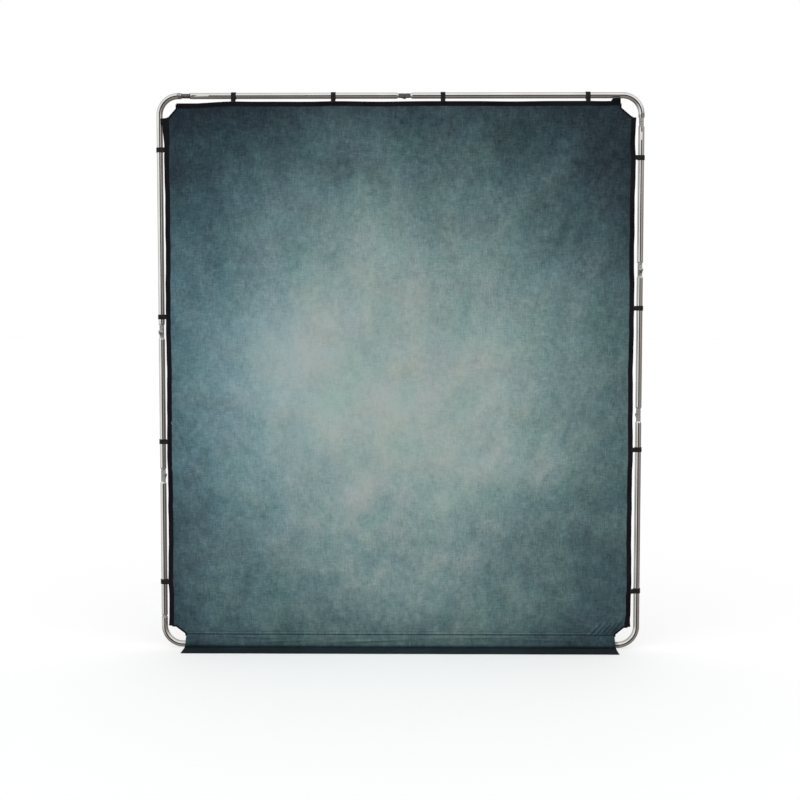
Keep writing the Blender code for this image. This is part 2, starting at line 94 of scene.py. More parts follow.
# %% Grid to mesh
def close_and_face_outwards(mesh):
    """Welds points that coincide, as at a pole, then turns every face of the closed form outwards."""
    bm = bmesh.new()
    bm.from_mesh(mesh)
    bmesh.ops.remove_doubles(bm, verts=bm.verts, dist=0.000001)
    bmesh.ops.recalc_face_normals(bm, faces=bm.faces)
    bm.to_mesh(mesh)
    bm.free()


def grid_piece(name, points, uv, closed_rows=False, closed_columns=False):
    """A mesh from points[row, column]: each four neighbours make one face, wrapping where closed."""
    rows, columns = points.shape[:2]
    index = np.arange(rows * columns).reshape(rows, columns)
    if closed_rows:
        index = np.vstack([index, index[:1]])
    if closed_columns:
        index = np.hstack([index, index[:, :1]])
    faces = np.stack([index[:-1, :-1], index[:-1, 1:], index[1:, 1:], index[1:, :-1]], axis=-1)
    mesh = bpy.data.meshes.new(name)
    mesh.from_pydata(points.reshape(-1, 3).tolist(), [], faces.reshape(-1, 4).tolist())
    layer = mesh.uv_layers.new(name="metres")
    corner = np.empty(len(mesh.loops), np.int64)
    mesh.loops.foreach_get("vertex_index", corner)
    layer.data.foreach_set("uv", uv.reshape(-1, 2)[corner].astype(np.float32).ravel())
    if closed_columns:
        close_and_face_outwards(mesh)
    mesh.shade_smooth()
    mesh.update()
    piece = bpy.data.objects.new(name, mesh)
    bpy.context.scene.collection.objects.link(piece)
    return piece


def sharp_by_angle(piece, degrees):
    """Smooth shading that breaks at edges sharper than this."""
    piece.data.set_sharp_from_angle(angle=np.radians(degrees))


def across_path(path):
    """Unit vectors across a path, in the frame's plane: its direction turned a quarter about Y."""
    along = np.gradient(path, axis=0)
    along /= np.linalg.norm(along, axis=1, keepdims=True)
    across = np.cross(along, [0.0, 1.0, 0.0])
    return across / np.linalg.norm(across, axis=1, keepdims=True)


def run_along(path):
    """The distance from a path's first point to each of its points."""
    steps = np.linalg.norm(np.diff(path, axis=0), axis=1)
    return np.concatenate([[0.0], np.cumsum(steps)])


def swept(name, path, section, width=1.0):
    """A section of (across, depth) points carried along a path, its width scaled at each ring. The first
    and last rings are repeated at no size, which closes both ends."""
    path = np.asarray(path, float)
    rings = np.stack(np.broadcast_arrays(section[None, :, 0], np.zeros((len(path), 1))), axis=-1)
    rings = rings * np.reshape(np.broadcast_to(width, len(path)), (-1, 1, 1))
    rings[..., 1] = section[None, :, 1]
    points = path[:, None] + rings[..., :1] * across_path(path)[:, None]
    points = points + rings[..., 1:] * np.array([0.0, 1.0, 0.0])
    ends = np.broadcast_to(path[[0, -1], None], (2, len(section), 3))
    points = np.concatenate([ends[:1], points, ends[1:]])
    run = run_along(path)[[0, *range(len(path)), -1]]
    uv = np.stack(np.broadcast_arrays(section[None, :, 0], run[:, None]), axis=-1)
    return grid_piece(name, points, uv, closed_columns=True)


def rounded_section(width, thickness, power=5.0, count=28):
    """A flat band's outline: an ellipse squared off by raising its cosine and sine to 2 / power."""
    turn = np.linspace(0, 2 * np.pi, count, endpoint=False)
    across = np.sign(np.cos(turn)) * np.abs(np.cos(turn)) ** (2 / power)
    deep = np.sign(np.sin(turn)) * np.abs(np.sin(turn)) ** (2 / power)
    return np.stack([across * width / 2, deep * thickness / 2], axis=1)


def smoothstep(value):
    """Rises from 0 to 1 with level ends: 3 v squared minus 2 v cubed."""
    held = np.clip(value, 0.0, 1.0)
    return held * held * (3 - 2 * held)


# %% [markdown]
# ## Finishes
#
# Two effects are shared. A woven surface is two sets of fine ridges at right angles, over and under
# each other. Handling wear is soft mottling that dulls a polish here and there. Each is a node group
# with named inputs, so cloth and webbing, or tube and plastic, use the same one with other values.

# %% Node group helpers
def new_group(name, inputs, outputs):
    """An empty shader node group with named float or vector sockets."""
    group = bpy.data.node_groups.new(name, "ShaderNodeTree")
    for label, kind, value in inputs:
        socket = group.interface.new_socket(name=label, in_out="INPUT", socket_type=kind)
        if value is not None:
            socket.default_value = value
    for label, kind in outputs:
        group.interface.new_socket(name=label, in_out="OUTPUT", socket_type=kind)
    return group, group.nodes.new("NodeGroupInput"), group.nodes.new("NodeGroupOutput")


def maths(tree, operation, *values):
    """A Math node; each value is a number or a socket."""
    made = tree.nodes.new("ShaderNodeMath")
    made.operation = operation
    for socket, value in zip(made.inputs, values):
        if isinstance(value, (int, float)):
            socket.default_value = value
        else:
            tree.links.new(value, socket)
    return made.outputs[0]


def noise(tree, vector, scale, detail=3.0, roughness=0.55):
    """A noise texture's grey value over a vector."""
    made = tree.nodes.new("ShaderNodeTexNoise")
    made.inputs["Scale"].default_value = scale
    made.inputs["Detail"].default_value = detail
    made.inputs["Roughness"].default_value = roughness
    tree.links.new(vector, made.inputs["Vector"])
    return made.outputs["Fac"]


def ramp(tree, value, stops):
    """A colour ramp with (position, colour) stops."""
    made = tree.nodes.new("ShaderNodeValToRGB")
    made.color_ramp.interpolation = "B_SPLINE" if len(stops) > 3 else "LINEAR"
    while len(made.color_ramp.elements) < len(stops):
        made.color_ramp.elements.new(0.5)
    for element, (position, colour) in zip(made.color_ramp.elements, stops):
        element.position = position
        element.color = (*colour, 1.0)
    tree.links.new(value, made.inputs["Fac"])
    return made.outputs["Color"]


def mixed(tree, amount, first, second, blend="MIX"):
    """A colour mix; amount, first and second are values or sockets."""
    made = tree.nodes.new("ShaderNodeMix")
    made.data_type = "RGBA"
    made.blend_type = blend
    for socket, value in ((made.inputs[0], amount), (made.inputs[6], first), (made.inputs[7], second)):
        if isinstance(value, (int, float)):
            socket.default_value = value
        elif isinstance(value, tuple):
            socket.default_value = (*value, 1.0)
        else:
            tree.links.new(value, socket)
    return made.outputs[2]


def stretched(tree, vector, scale):
    """A vector multiplied along each axis."""
    made = tree.nodes.new("ShaderNodeMapping")
    made.inputs["Scale"].default_value = scale
    tree.links.new(vector, made.inputs["Vector"])
    return made.outputs["Vector"]


# %% The weave group
def weave_group():
    """Ridges across plus ridges along, each the absolute sine of the distance over one thread."""
    inputs = [("Vector", "NodeSocketVector", None), ("Threads per metre", "NodeSocketFloat", 900.0)]
    group, start, end = new_group("plain_weave", inputs, [("Height", "NodeSocketFloat")])
    split = group.nodes.new("ShaderNodeSeparateXYZ")
    group.links.new(start.outputs["Vector"], split.inputs[0])
    turns = maths(group, "MULTIPLY", start.outputs["Threads per metre"], float(np.pi))
    warp = maths(group, "ABSOLUTE", maths(group, "SINE", maths(group, "MULTIPLY", split.outputs[0], turns)))
    weft = maths(group, "ABSOLUTE", maths(group, "SINE", maths(group, "MULTIPLY", split.outputs[1], turns)))
    group.links.new(maths(group, "MULTIPLY", warp, weft), end.inputs["Height"])
    return group


WEAVE = weave_group()


# %% The handling wear group
def wear_group():
    """Coarse and fine noise multiplied, so that wear comes in patches with a grain inside them."""
    inputs = [("Vector", "NodeSocketVector", None), ("Patch scale", "NodeSocketFloat", 14.0)]
    group, start, end = new_group("handling_wear", inputs, [("Mask", "NodeSocketFloat")])
    patches = group.nodes.new("ShaderNodeTexNoise")
    grain = group.nodes.new("ShaderNodeTexNoise")
    group.links.new(start.outputs["Vector"], patches.inputs["Vector"])
    group.links.new(start.outputs["Vector"], grain.inputs["Vector"])
    group.links.new(start.outputs["Patch scale"], patches.inputs["Scale"])
    grain.inputs["Scale"].default_value = 420.0
    patches.inputs["Detail"].default_value = 4.0
    both = maths(group, "MULTIPLY", patches.outputs["Fac"], grain.outputs["Fac"])
    group.links.new(maths(group, "MULTIPLY", both, 3.2), end.inputs["Mask"])
    return group


WEAR = wear_group()


# %% Starting a material
def new_material(name, roughness, metallic=0.0):
    """A material with its Principled shader, its tree and its object coordinates."""
    made = bpy.data.materials.new(name)
    made.use_nodes = True
    tree = made.node_tree
    shader = tree.nodes["Principled BSDF"]
    shader.inputs["Roughness"].default_value = roughness
    shader.inputs["Metallic"].default_value = metallic
    place = tree.nodes.new("ShaderNodeTexCoord")
    return made, tree, shader, place


def grouped(tree, group, vector, **values):
    """A copy of a shared group, fed with a vector and this material's own values."""
    made = tree.nodes.new("ShaderNodeGroup")
    made.node_tree = group
    tree.links.new(vector, made.inputs["Vector"])
    for label, value in values.items():
        made.inputs[label.replace("_", " ")].default_value = value
    return made.outputs[0]


def bumped(tree, shader, height, distance, strength=1.0):
    """A bump of this height in metres into the shader's normal."""
    made = tree.nodes.new("ShaderNodeBump")
    made.inputs["Distance"].default_value = distance
    made.inputs["Strength"].default_value = strength
    tree.links.new(height, made.inputs["Height"])
    tree.links.new(made.outputs["Normal"], shader.inputs["Normal"])


def scaled_range(tree, value, low, high):
    """A value from 0 to 1 moved to the range low to high."""
    return maths(tree, "ADD", maths(tree, "MULTIPLY", value, high - low), low)


def clamped(tree, value):
    """A value held between 0 and 1."""
    return maths(tree, "MINIMUM", maths(tree, "MAXIMUM", value, 0.0), 1.0)


# %% [markdown]
# ## Polished tube
#
# The tube is drawn aluminium with a bright polish. Its look is almost all reflection, so the colour
# hardly varies, and the roughness does the work: long faint draw marks along the tube, and patches
# dulled by handling. Stretching the noise along one axis would only suit tubes that run that way, so
# the marks use the tube's own UV map, in metres across it and along it.

# %% Aluminium and steel
def polished_tube():
    made, tree, shader, place = new_material("polished_aluminium", 0.16, 1.0)
    marks = noise(tree, stretched(tree, place.outputs["UV"], (900.0, 3.0, 1.0)), 1.0, 2.0)
    wear = grouped(tree, WEAR, place.outputs["Object"], Patch_scale=9.0)
    tint = ramp(tree, wear, [(0.25, (0.86, 0.86, 0.85)), (0.9, (0.70, 0.69, 0.67))])
    tree.links.new(tint, shader.inputs["Base Color"])
    dull = maths(tree, "ADD", maths(tree, "MULTIPLY", marks, 0.05), maths(tree, "MULTIPLY", wear, 0.07))
    tree.links.new(maths(tree, "ADD", dull, 0.02), shader.inputs["Roughness"])
    return made


def satin_fitting(name, colour, roughness):
    """Cast and turned fittings: the same metal, duller, with a fine tumbled grain."""
    made, tree, shader, place = new_material(name, roughness, 1.0)
    wear = grouped(tree, WEAR, place.outputs["Object"], Patch_scale=45.0)
    darker = tuple(0.62 * part for part in colour)
    tree.links.new(ramp(tree, wear, [(0.2, colour), (0.95, darker)]), shader.inputs["Base Color"])
    tree.links.new(scaled_range(tree, wear, roughness, roughness + 0.22), shader.inputs["Roughness"])
    grain = noise(tree, place.outputs["Object"], 1600.0, 2.0)
    bumped(tree, shader, grain, 0.00004, 0.6)
    return made


def knurled_fitting():
    """The spigot's waist is knurled: diagonal ridges both ways, from its UV map in metres."""
    made, tree, shader, place = new_material("knurled_spigot", 0.3, 1.0)
    wear = grouped(tree, WEAR, place.outputs["Object"], Patch_scale=60.0)
    dark_and_light = [(0.2, (0.26, 0.26, 0.26)), (0.9, (0.13, 0.13, 0.13))]
    tree.links.new(ramp(tree, wear, dark_and_light), shader.inputs["Base Color"])
    turned_grid = tree.nodes.new("ShaderNodeMapping")
    turned_grid.inputs["Rotation"].default_value = (0.0, 0.0, np.pi / 4)
    tree.links.new(place.outputs["UV"], turned_grid.inputs["Vector"])
    ridges = grouped(tree, WEAVE, turned_grid.outputs["Vector"], Threads_per_metre=620.0)
    bumped(tree, shader, ridges, 0.0004, 0.9)
    return made


ALUMINIUM = polished_tube()
STEEL = satin_fitting("satin_steel", (0.88, 0.88, 0.87), 0.46)
BUTTON = satin_fitting("bright_button", (0.90, 0.90, 0.89), 0.16)
KNURL = knurled_fitting()

# %% [markdown]
# ## Moulded plastic and black webbing
#
# The clips are black moulded plastic, so they get a fine spark-eroded grain and patches that have gone
# slightly grey. The edging is woven polyester tape, almost without gloss: a coarse rib across it, and
# two rows of stitching near its edges.

# %% Plastic and webbing
STITCH_LENGTH = 0.003


def moulded_plastic():
    made, tree, shader, place = new_material("moulded_clip_plastic", 0.48)
    wear = grouped(tree, WEAR, place.outputs["Object"], Patch_scale=70.0)
    shader.inputs["Specular IOR Level"].default_value = 0.08
    greys = [(0.3, (0.0025, 0.0025, 0.0028)), (0.95, (0.014, 0.014, 0.015))]
    tree.links.new(ramp(tree, wear, greys), shader.inputs["Base Color"])
    tree.links.new(scaled_range(tree, wear, 0.38, 0.62), shader.inputs["Roughness"])
    bumped(tree, shader, noise(tree, place.outputs["Object"], 2200.0, 1.0), 0.00005, 0.7)
    return made


def stitched_webbing(name, ribs, stitch_offset):
    """Ribs across the tape, and stitches: dashes along two lines, each stitch_offset from its middle."""
    made, tree, shader, place = new_material(name, 0.82)
    shader.inputs["Specular IOR Level"].default_value = 0.03
    across = tree.nodes.new("ShaderNodeSeparateXYZ")
    tree.links.new(place.outputs["UV"], across.inputs[0])
    rib = maths(tree, "SINE", maths(tree, "MULTIPLY", across.outputs[1], ribs * np.pi))
    offset = maths(tree, "SUBTRACT", maths(tree, "ABSOLUTE", across.outputs[0]), stitch_offset)
    on_line = maths(tree, "LESS_THAN", maths(tree, "ABSOLUTE", offset), 0.0005)
    step = maths(tree, "SINE", maths(tree, "MULTIPLY", across.outputs[1], 2 * np.pi / STITCH_LENGTH))
    dash = maths(tree, "GREATER_THAN", step, -0.3)
    stitch = maths(tree, "MULTIPLY", on_line, dash)
    dust = grouped(tree, WEAR, place.outputs["Object"], Patch_scale=6.0)
    black = ramp(tree, dust, [(0.3, (0.0018, 0.0018, 0.0026)), (1.0, (0.008, 0.008, 0.010))])
    tree.links.new(mixed(tree, stitch, black, (0.016, 0.016, 0.018)), shader.inputs["Base Color"])
    weave = grouped(tree, WEAVE, place.outputs["UV"], Threads_per_metre=700.0)
    height = maths(tree, "ADD", maths(tree, "MULTIPLY", maths(tree, "ABSOLUTE", rib), 0.6), weave)
    bumped(tree, shader, maths(tree, "ADD", height, stitch), 0.0003, 0.8)
    return made


PLASTIC = moulded_plastic()
WEBBING = stitched_webbing("edging_webbing", 520.0, 0.0070)
BINDING = stitched_webbing("corner_binding", 700.0, 0.0016)

# %% [markdown]
# ## Painted canvas
#
# The cover looks like hand-painted canvas: a pale glow just left of the middle, darker towards the
# edges, darkest in the top corners, and bluer on the left. One value, the glow, does most of it: a sum
# of soft elliptical spots, one large and the rest small, some of which darken. Noise makes their edges
# cloudy, and brush hatching across and upright, specks and dabs are added to it. A ramp turns it into
# colour. Washes of blue, green and warm grey lie over that, then painted shade on the part of the skirt
# that lies on the floor, and a thin line of painted shade along its seam.

# %% The canvas finish
SKIRT_SEAM = 0.060  # the height of the seam where the skirt starts
SKIRT_PAINTED_SHADE_HEIGHT = 0.018  # painted shade darkens the skirt's colour below this, where it lies on the floor
SKIRT_PAINTED_SHADE = (0.08, 0.13, 0.16)
# A thin line of painted shade just below the seam: its drop, half-width, strength and colour.
SEAM_LINE_DROP, SEAM_LINE_HALF, SEAM_LINE_STRENGTH = 0.0015, 0.0024, 0.7
SEAM_PAINTED_SHADE = (0.30, 0.34, 0.36)
ACROSS_ALL = 60.0  # a reach so wide that a spot becomes a level band
CANVAS_THREADS = 750.0  # in a metre
GLOW_PATCHES = (  # centre, reach, how much lighter or darker
    ((-0.07, 1.04), (1.12, 1.10), 0.90),
    ((-0.48, 1.22), (0.24, 0.34), 0.12),
    ((-0.20, 0.95), (0.22, 0.26), 0.05),
    ((0.62, 1.36), (0.40, 0.16), 0.06),
    ((0.42, 0.98), (0.26, 0.36), 0.08),
    ((-0.12, 1.72), (0.22, 0.22), 0.09),
    ((0.05, 0.17), (0.50, 0.28), 0.14),
    ((-0.95, 2.25), (0.40, 0.34), -0.13),
    ((-0.10, 2.36), (0.95, 0.22), -0.10),
    ((0.98, 2.08), (0.30, 0.50), -0.13),
    ((-1.00, 0.62), (0.18, 0.50), -0.13),
)


def elliptic_distance(tree, vector, centre, reach):
    """The distance from a centre in the (x, z) plane, in units of the ellipse's half-axes."""
    moved = tree.nodes.new("ShaderNodeMapping")
    moved.inputs["Scale"].default_value = (1 / reach[0], 0.0, 1 / reach[1])
    moved.inputs["Location"].default_value = (-centre[0] / reach[0], 0.0, -centre[1] / reach[1])
    tree.links.new(vector, moved.inputs["Vector"])
    length = tree.nodes.new("ShaderNodeVectorMath")
    length.operation = "LENGTH"
    tree.links.new(moved.outputs["Vector"], length.inputs[0])
    return length.outputs["Value"]


def lobe(tree, vector, centre, reach):
    """A soft spot: one at its centre, falling as exp(-distance squared)."""
    away = maths(tree, "POWER", elliptic_distance(tree, vector, centre, reach), 2.0)
    return maths(tree, "EXPONENT", maths(tree, "MULTIPLY", away, -1.0))


def painted_canvas(name):
    made, tree, shader, place = new_material(name, 0.92)
    shader.inputs["Sheen Weight"].default_value = 0.02
    shader.inputs["Specular IOR Level"].default_value = 0.08
    where = place.outputs["Object"]
    clouds = maths(tree, "SUBTRACT", noise(tree, where, 3.4, 6.0, 0.62), 0.5)
    glow = maths(tree, "MULTIPLY", clouds, 0.42)
    for centre, reach, amount in GLOW_PATCHES:
        patch = maths(tree, "MULTIPLY", lobe(tree, where, centre, reach), amount)
        glow = maths(tree, "ADD", glow, patch)
    clumps = maths(tree, "SUBTRACT", noise(tree, where, 14.0, 6.0, 0.7), 0.5)
    glow = maths(tree, "ADD", glow, maths(tree, "MULTIPLY", clumps, 0.26))
    upright = noise(tree, stretched(tree, where, (210.0, 1.0, 26.0)), 1.0, 3.0, 0.7)
    level = noise(tree, stretched(tree, where, (26.0, 1.0, 210.0)), 1.0, 3.0, 0.7)
    hatch = maths(tree, "SUBTRACT", maths(tree, "ADD", upright, level), 1.0)
    speck = maths(tree, "SUBTRACT", noise(tree, where, 150.0, 3.0, 0.7), 0.5)
    dabs = maths(tree, "SUBTRACT", noise(tree, stretched(tree, where, (1.0, 1.0, 0.7)), 46.0, 5.0, 0.7), 0.5)
    texture = maths(tree, "ADD", maths(tree, "MULTIPLY", hatch, 0.34), maths(tree, "MULTIPLY", speck, 0.20))
    texture = maths(tree, "ADD", texture, maths(tree, "MULTIPLY", dabs, 0.34))
    glow = maths(tree, "ADD", glow, texture)
    paint = ramp(
        tree,
        glow,
        [
            (0.02, (0.011, 0.017, 0.023)),
            (0.22, (0.027, 0.046, 0.056)),
            (0.45, (0.063, 0.106, 0.116)),
            (0.70, (0.142, 0.208, 0.213)),
            (1.00, (0.285, 0.328, 0.316)),
        ],
    )
    blue = scaled_range(tree, noise(tree, where, 1.7, 3.0), -0.45, 0.75)
    left_blue = lobe(tree, where, (-0.85, 1.2), (0.45, 1.1))
    paint = mixed(tree, maths(tree, "MULTIPLY", left_blue, 0.55), paint, (0.78, 0.97, 1.18), "MULTIPLY")
    paint = mixed(tree, maths(tree, "MULTIPLY", blue, 0.45), paint, (0.90, 0.99, 1.10), "MULTIPLY")
    taller = stretched(tree, where, (1.0, 1.0, 0.8))
    green = scaled_range(tree, noise(tree, taller, 5.1, 5.0, 0.65), -1.1, 2.0)
    paint = mixed(tree, maths(tree, "MULTIPLY", green, 0.50), paint, (0.84, 1.06, 0.92), "MULTIPLY")
    warm = scaled_range(tree, noise(tree, where, 7.3, 5.0, 0.65), -1.6, 2.4)
    paint = mixed(tree, maths(tree, "MULTIPLY", warm, 0.55), paint, (1.22, 1.01, 0.94), "MULTIPLY")
    # Painted shade: the colour of the skirt is darkened where it lies on the floor.
    height = tree.nodes.new("ShaderNodeSeparateXYZ")
    tree.links.new(where, height.inputs[0])
    share = maths(tree, "MULTIPLY", height.outputs[Z], 1 / SKIRT_PAINTED_SHADE_HEIGHT)
    painted_floor_shade = clamped(tree, scaled_range(tree, share, 1.5, -0.1))
    paint = mixed(tree, painted_floor_shade, paint, SKIRT_PAINTED_SHADE, "MULTIPLY")
    # Painted shade: a thin dark line just below the seam's raised ridge.
    seam = lobe(tree, where, (0.0, SKIRT_SEAM - SEAM_LINE_DROP), (ACROSS_ALL, SEAM_LINE_HALF))
    seam = maths(tree, "MULTIPLY", seam, SEAM_LINE_STRENGTH)
    paint = mixed(tree, seam, paint, SEAM_PAINTED_SHADE, "MULTIPLY")
    tree.links.new(paint, shader.inputs["Base Color"])
    tree.links.new(scaled_range(tree, hatch, 0.88, 1.0), shader.inputs["Roughness"])
    weave = grouped(tree, WEAVE, place.outputs["UV"], Threads_per_metre=CANVAS_THREADS)
    slub = noise(tree, stretched(tree, place.outputs["UV"], (60.0, 500.0, 1.0)), 1.0, 2.0)
    bumped(tree, shader, maths(tree, "ADD", weave, maths(tree, "MULTIPLY", slub, 0.7)), 0.00025, 0.55)
    return made


CANVAS = painted_canvas("painted_canvas")
FINISHES = (ALUMINIUM, STEEL, BUTTON, KNURL, PLASTIC, WEBBING, BINDING, CANVAS)
print("finishes", [made.name for made in FINISHES])

# %% [markdown]
# ## The tubes
#
# Ten lengths of hollow tube make the frame. Four are bent into an L at the corners. Where a tube takes a
# hinge its end is swaged, which means squeezed narrower. A bevelled curve would give the outside, but
# not a wall with a radius that changes, so each tube is one grid: rings down the outside along its path
# and back up the inside, closed both ways like a stretched torus.

# %% Tube along a path
WALL = 0.0015
SWAGED = 0.0095
SWAGE_START, SWAGE_LENGTH = 0.0026, 0.0056
LIP = 0.0004
BEND_RADIUS = 0.078
TUBE_SIDES = 48
END_RINGS = np.array([0.0, 0.0004, 0.0012, 0.0024, 0.0034, 0.0044, 0.0054, 0.0064, 0.0074, 0.0084, 0.012])


def narrowed(distance, swaged):
    """The radius this far from a tube's end: a small lip, and a smooth step up from a swaged end."""
    radius = np.full_like(distance, TUBE_RADIUS)
    if swaged:
        rise = smoothstep((distance - SWAGE_START) / SWAGE_LENGTH)
        radius = SWAGED + (TUBE_RADIUS - SWAGED) * rise
    return radius - LIP * np.clip(1 - distance / LIP, 0, 1)


def hollow_tube(name, path, swaged_start, swaged_end):
    """Rings of the outer radius along the path, then rings of the inner radius back again."""
    run = run_along(path)
    outer = np.minimum(narrowed(run, swaged_start), narrowed(run[-1] - run, swaged_end))
    bore = outer - WALL + LIP * (outer < SWAGED)  # the lip of a swaged end leaves its bore as wide
    places = np.concatenate([path, path[::-1]])
    radii = np.concatenate([outer, bore[::-1]])
    turn = np.linspace(0, 2 * np.pi, TUBE_SIDES, endpoint=False)
    across = np.concatenate([across_path(path), across_path(path)[::-1]])
    ring = np.cos(turn)[None, :, None] * across[:, None] + np.sin(turn)[None, :, None] * [0.0, 1.0, 0.0]
    points = places[:, None] + radii[:, None, None] * ring
    along = np.concatenate([run, run[::-1]])
    uv = np.stack(np.broadcast_arrays(radii[:, None] * np.cos(turn), along[:, None]), axis=-1)
    piece = grid_piece(name, points, uv, closed_rows=True, closed_columns=True)
    sharp_by_angle(piece, 50)
    return piece


def straight_path(start, end):
    """Points close together near both ends, where the radius changes."""
    start, end = np.asarray(start, float), np.asarray(end, float)
    length = np.linalg.norm(end - start)
    middle = np.linspace(END_RINGS[-1], length - END_RINGS[-1], 12)[1:-1]
    run = np.concatenate([END_RINGS, middle, length - END_RINGS[::-1]])
    return start + (end - start) * run[:, None] / length


def bent_path(start, corner, end):
    """Two straight legs and a quarter circle between them, which touches both."""
    start, corner, end = (np.asarray(place, float) for place in (start, corner, end))
    into = (corner - start) / np.linalg.norm(corner - start)
    out = (end - corner) / np.linalg.norm(end - corner)
    turn = np.linspace(0, np.pi / 2, 26)[1:-1, None]
    centre = corner - into * BEND_RADIUS + out * BEND_RADIUS
    arc = centre + BEND_RADIUS * (into * np.sin(turn) - out * np.cos(turn))
    first = straight_path(start, corner - into * BEND_RADIUS)
    last = straight_path(corner + out * BEND_RADIUS, end)
    return np.concatenate([first, arc, last])


# %% Applied Booleans
def combined(piece, other, operation):
    """Joins another closed form to a piece, or cuts it away, and leaves no modifier behind."""
    step = piece.modifiers.new("combined", "BOOLEAN")
    step.operation = operation
    step.object = other
    bpy.context.view_layer.update()
    graph = bpy.context.evaluated_depsgraph_get()
    mesh = bpy.data.meshes.new_from_object(piece.evaluated_get(graph))
    piece.modifiers.clear()
    piece.data = mesh
    bpy.data.objects.remove(other, do_unlink=True)
    return piece


def round_cutter(centre, radius, reach):
    """A closed cylinder along Y about a centre: four rings, the outer two at no size."""
    depth = np.array([-reach, -reach, reach, reach])
    size = np.array([0.0, radius, radius, 0.0])
    turn = np.linspace(0, 2 * np.pi, 32, endpoint=False)
    ring = np.stack([np.cos(turn), np.zeros(32), np.sin(turn)], axis=1)
    points = np.asarray(centre) + size[:, None, None] * ring + depth[:, None, None] * [0.0, 1.0, 0.0]
    return grid_piece("cutter", points, points[..., :2], closed_columns=True)


BUTTON_HOLE = 0.0034


def with_button_hole(piece, button):
    """Cuts a button's hole through the front wall only, which stops short of the centre line."""
    low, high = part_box(button)
    front = (low[X] + high[X]) / 2, PLANE_Y - TUBE_RADIUS, (low[Z] + high[Z]) / 2
    return combined(piece, round_cutter(front, BUTTON_HOLE, TUBE_RADIUS * 0.7), "DIFFERENCE")


def finish_piece(piece, made, body, slot, *replaced):
    """Gives a piece its material and the body it rides on, and hides the nodes it stands for. Its slot is not
    used.
    """
    piece.data.materials.clear()
    piece.data.materials.append(made)
    if body:
        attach(piece, body)
    if replaced:
        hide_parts(*replaced)
    return piece


# %% Straight tubes
def on_plane(x, z):
    return x, PLANE_Y, z


def make_straight_tubes():
    """Each runs between its node's own ends: name, body, both ends, whether each is swaged, button."""
    low_left, high_left = span("tube_left_middle", Z)
    low_right, high_right = span("tube_right_lower", Z)
    lower, upper = span("tube_left_lower", Z), span("tube_right_upper", Z)
    bottom, top = span("tube_bottom", X), span("tube_top", X)
    rows = (
        ("left_lower", "left_lower", (LEFT_X, lower[0]), (LEFT_X, lower[1]), False, True, None),
        ("left_middle", "left_middle", (LEFT_X, low_left), (LEFT_X, high_left), True, True, None),
        ("right_lower", "right_lower", (RIGHT_X, low_right), (RIGHT_X, high_right), True, True, None),
        ("right_upper", "right_upper", (RIGHT_X, upper[0]), (RIGHT_X, upper[1]), True, False, "top_right"),
        ("bottom", "right_base", (bottom[0], BOTTOM_Z), (bottom[1], BOTTOM_Z), True, False, "bottom_right"),
        ("top", "top_bar", (top[0], TOP_Z), (top[1], TOP_Z), False, True, "top_left"),
    )
    for name, body, start, end, first, last, button in rows:
        node = "tube_" + name
        piece = hollow_tube("polished_" + node, straight_path(on_plane(*start), on_plane(*end)), first, last)
        if button:
            piece = with_button_hole(piece, "button_" + button)
        finish_piece(piece, ALUMINIUM, body, "tube_aluminium", node)
        print(node, round(abs(end[0] - start[0]) + abs(end[1] - start[1]), 3), "m")


make_straight_tubes()

# %% Corner tubes
PANEL_MIDDLE = (BOTTOM_Z + TOP_Z) / 2


def make_corner_tubes():
    """A plain short leg that meets a spigot, a bend, and a long leg swaged for its hinge."""
    rows = (
        ("bottom_left", "left_base", "upright", LEFT_X, BOTTOM_Z, "button_bottom_left"),
        ("bottom_right", "right_corner", "level", RIGHT_X, BOTTOM_Z, None),
        ("top_right", "top_corner", "upright", RIGHT_X, TOP_Z, None),
        ("top_left", "left_corner", "level", LEFT_X, TOP_Z, None),
    )
    for name, body, short_leg, x, z, button in rows:
        node = "corner_tube_" + name
        inner_x, inner_z = span(node, X)[int(x < 0)], span(node, Z)[int(z < PANEL_MIDDLE)]
        upright_end, level_end = on_plane(x, inner_z), on_plane(inner_x, z)
        ends = (upright_end, level_end) if short_leg == "upright" else (level_end, upright_end)
        piece = hollow_tube("polished_" + node, bent_path(ends[0], on_plane(x, z), ends[1]), False, True)
        if button:
            piece = with_button_hole(piece, button)
        finish_piece(piece, ALUMINIUM, body, "tube_aluminium", node)
        print(node, "ends at", round(inner_x, 3), round(inner_z, 3))


make_corner_tubes()

# %% [markdown]
# ## Spigots
#
# A spigot is a turned steel insert that plugs two tubes together. Its waisted neck shows between them,
# with a collar each side. It is a lathe job, so it is made as one: a profile of radius against length,
# turned about the tube's line, outside and bore in one closed grid. The top left neck is knurled.

# %% Turned spigots
SPIGOT_RADIUS, SPIGOT_BORE, NECK_RADIUS, COLLAR_RADIUS = 0.0107, 0.0072, 0.0095, 0.0120
COLLAR_LENGTH, COLLAR_TAPER, STUB, EDGE = 0.003, 0.002, 0.004, 0.0003
TIP_CHAMFER, TIP_STEP = 0.002, 0.0008
LONG, SHORT, NECK_ONLY = (0.045, 0.040), (0.014, 0.031), (0.045, 0.0)  # neck and insert lengths


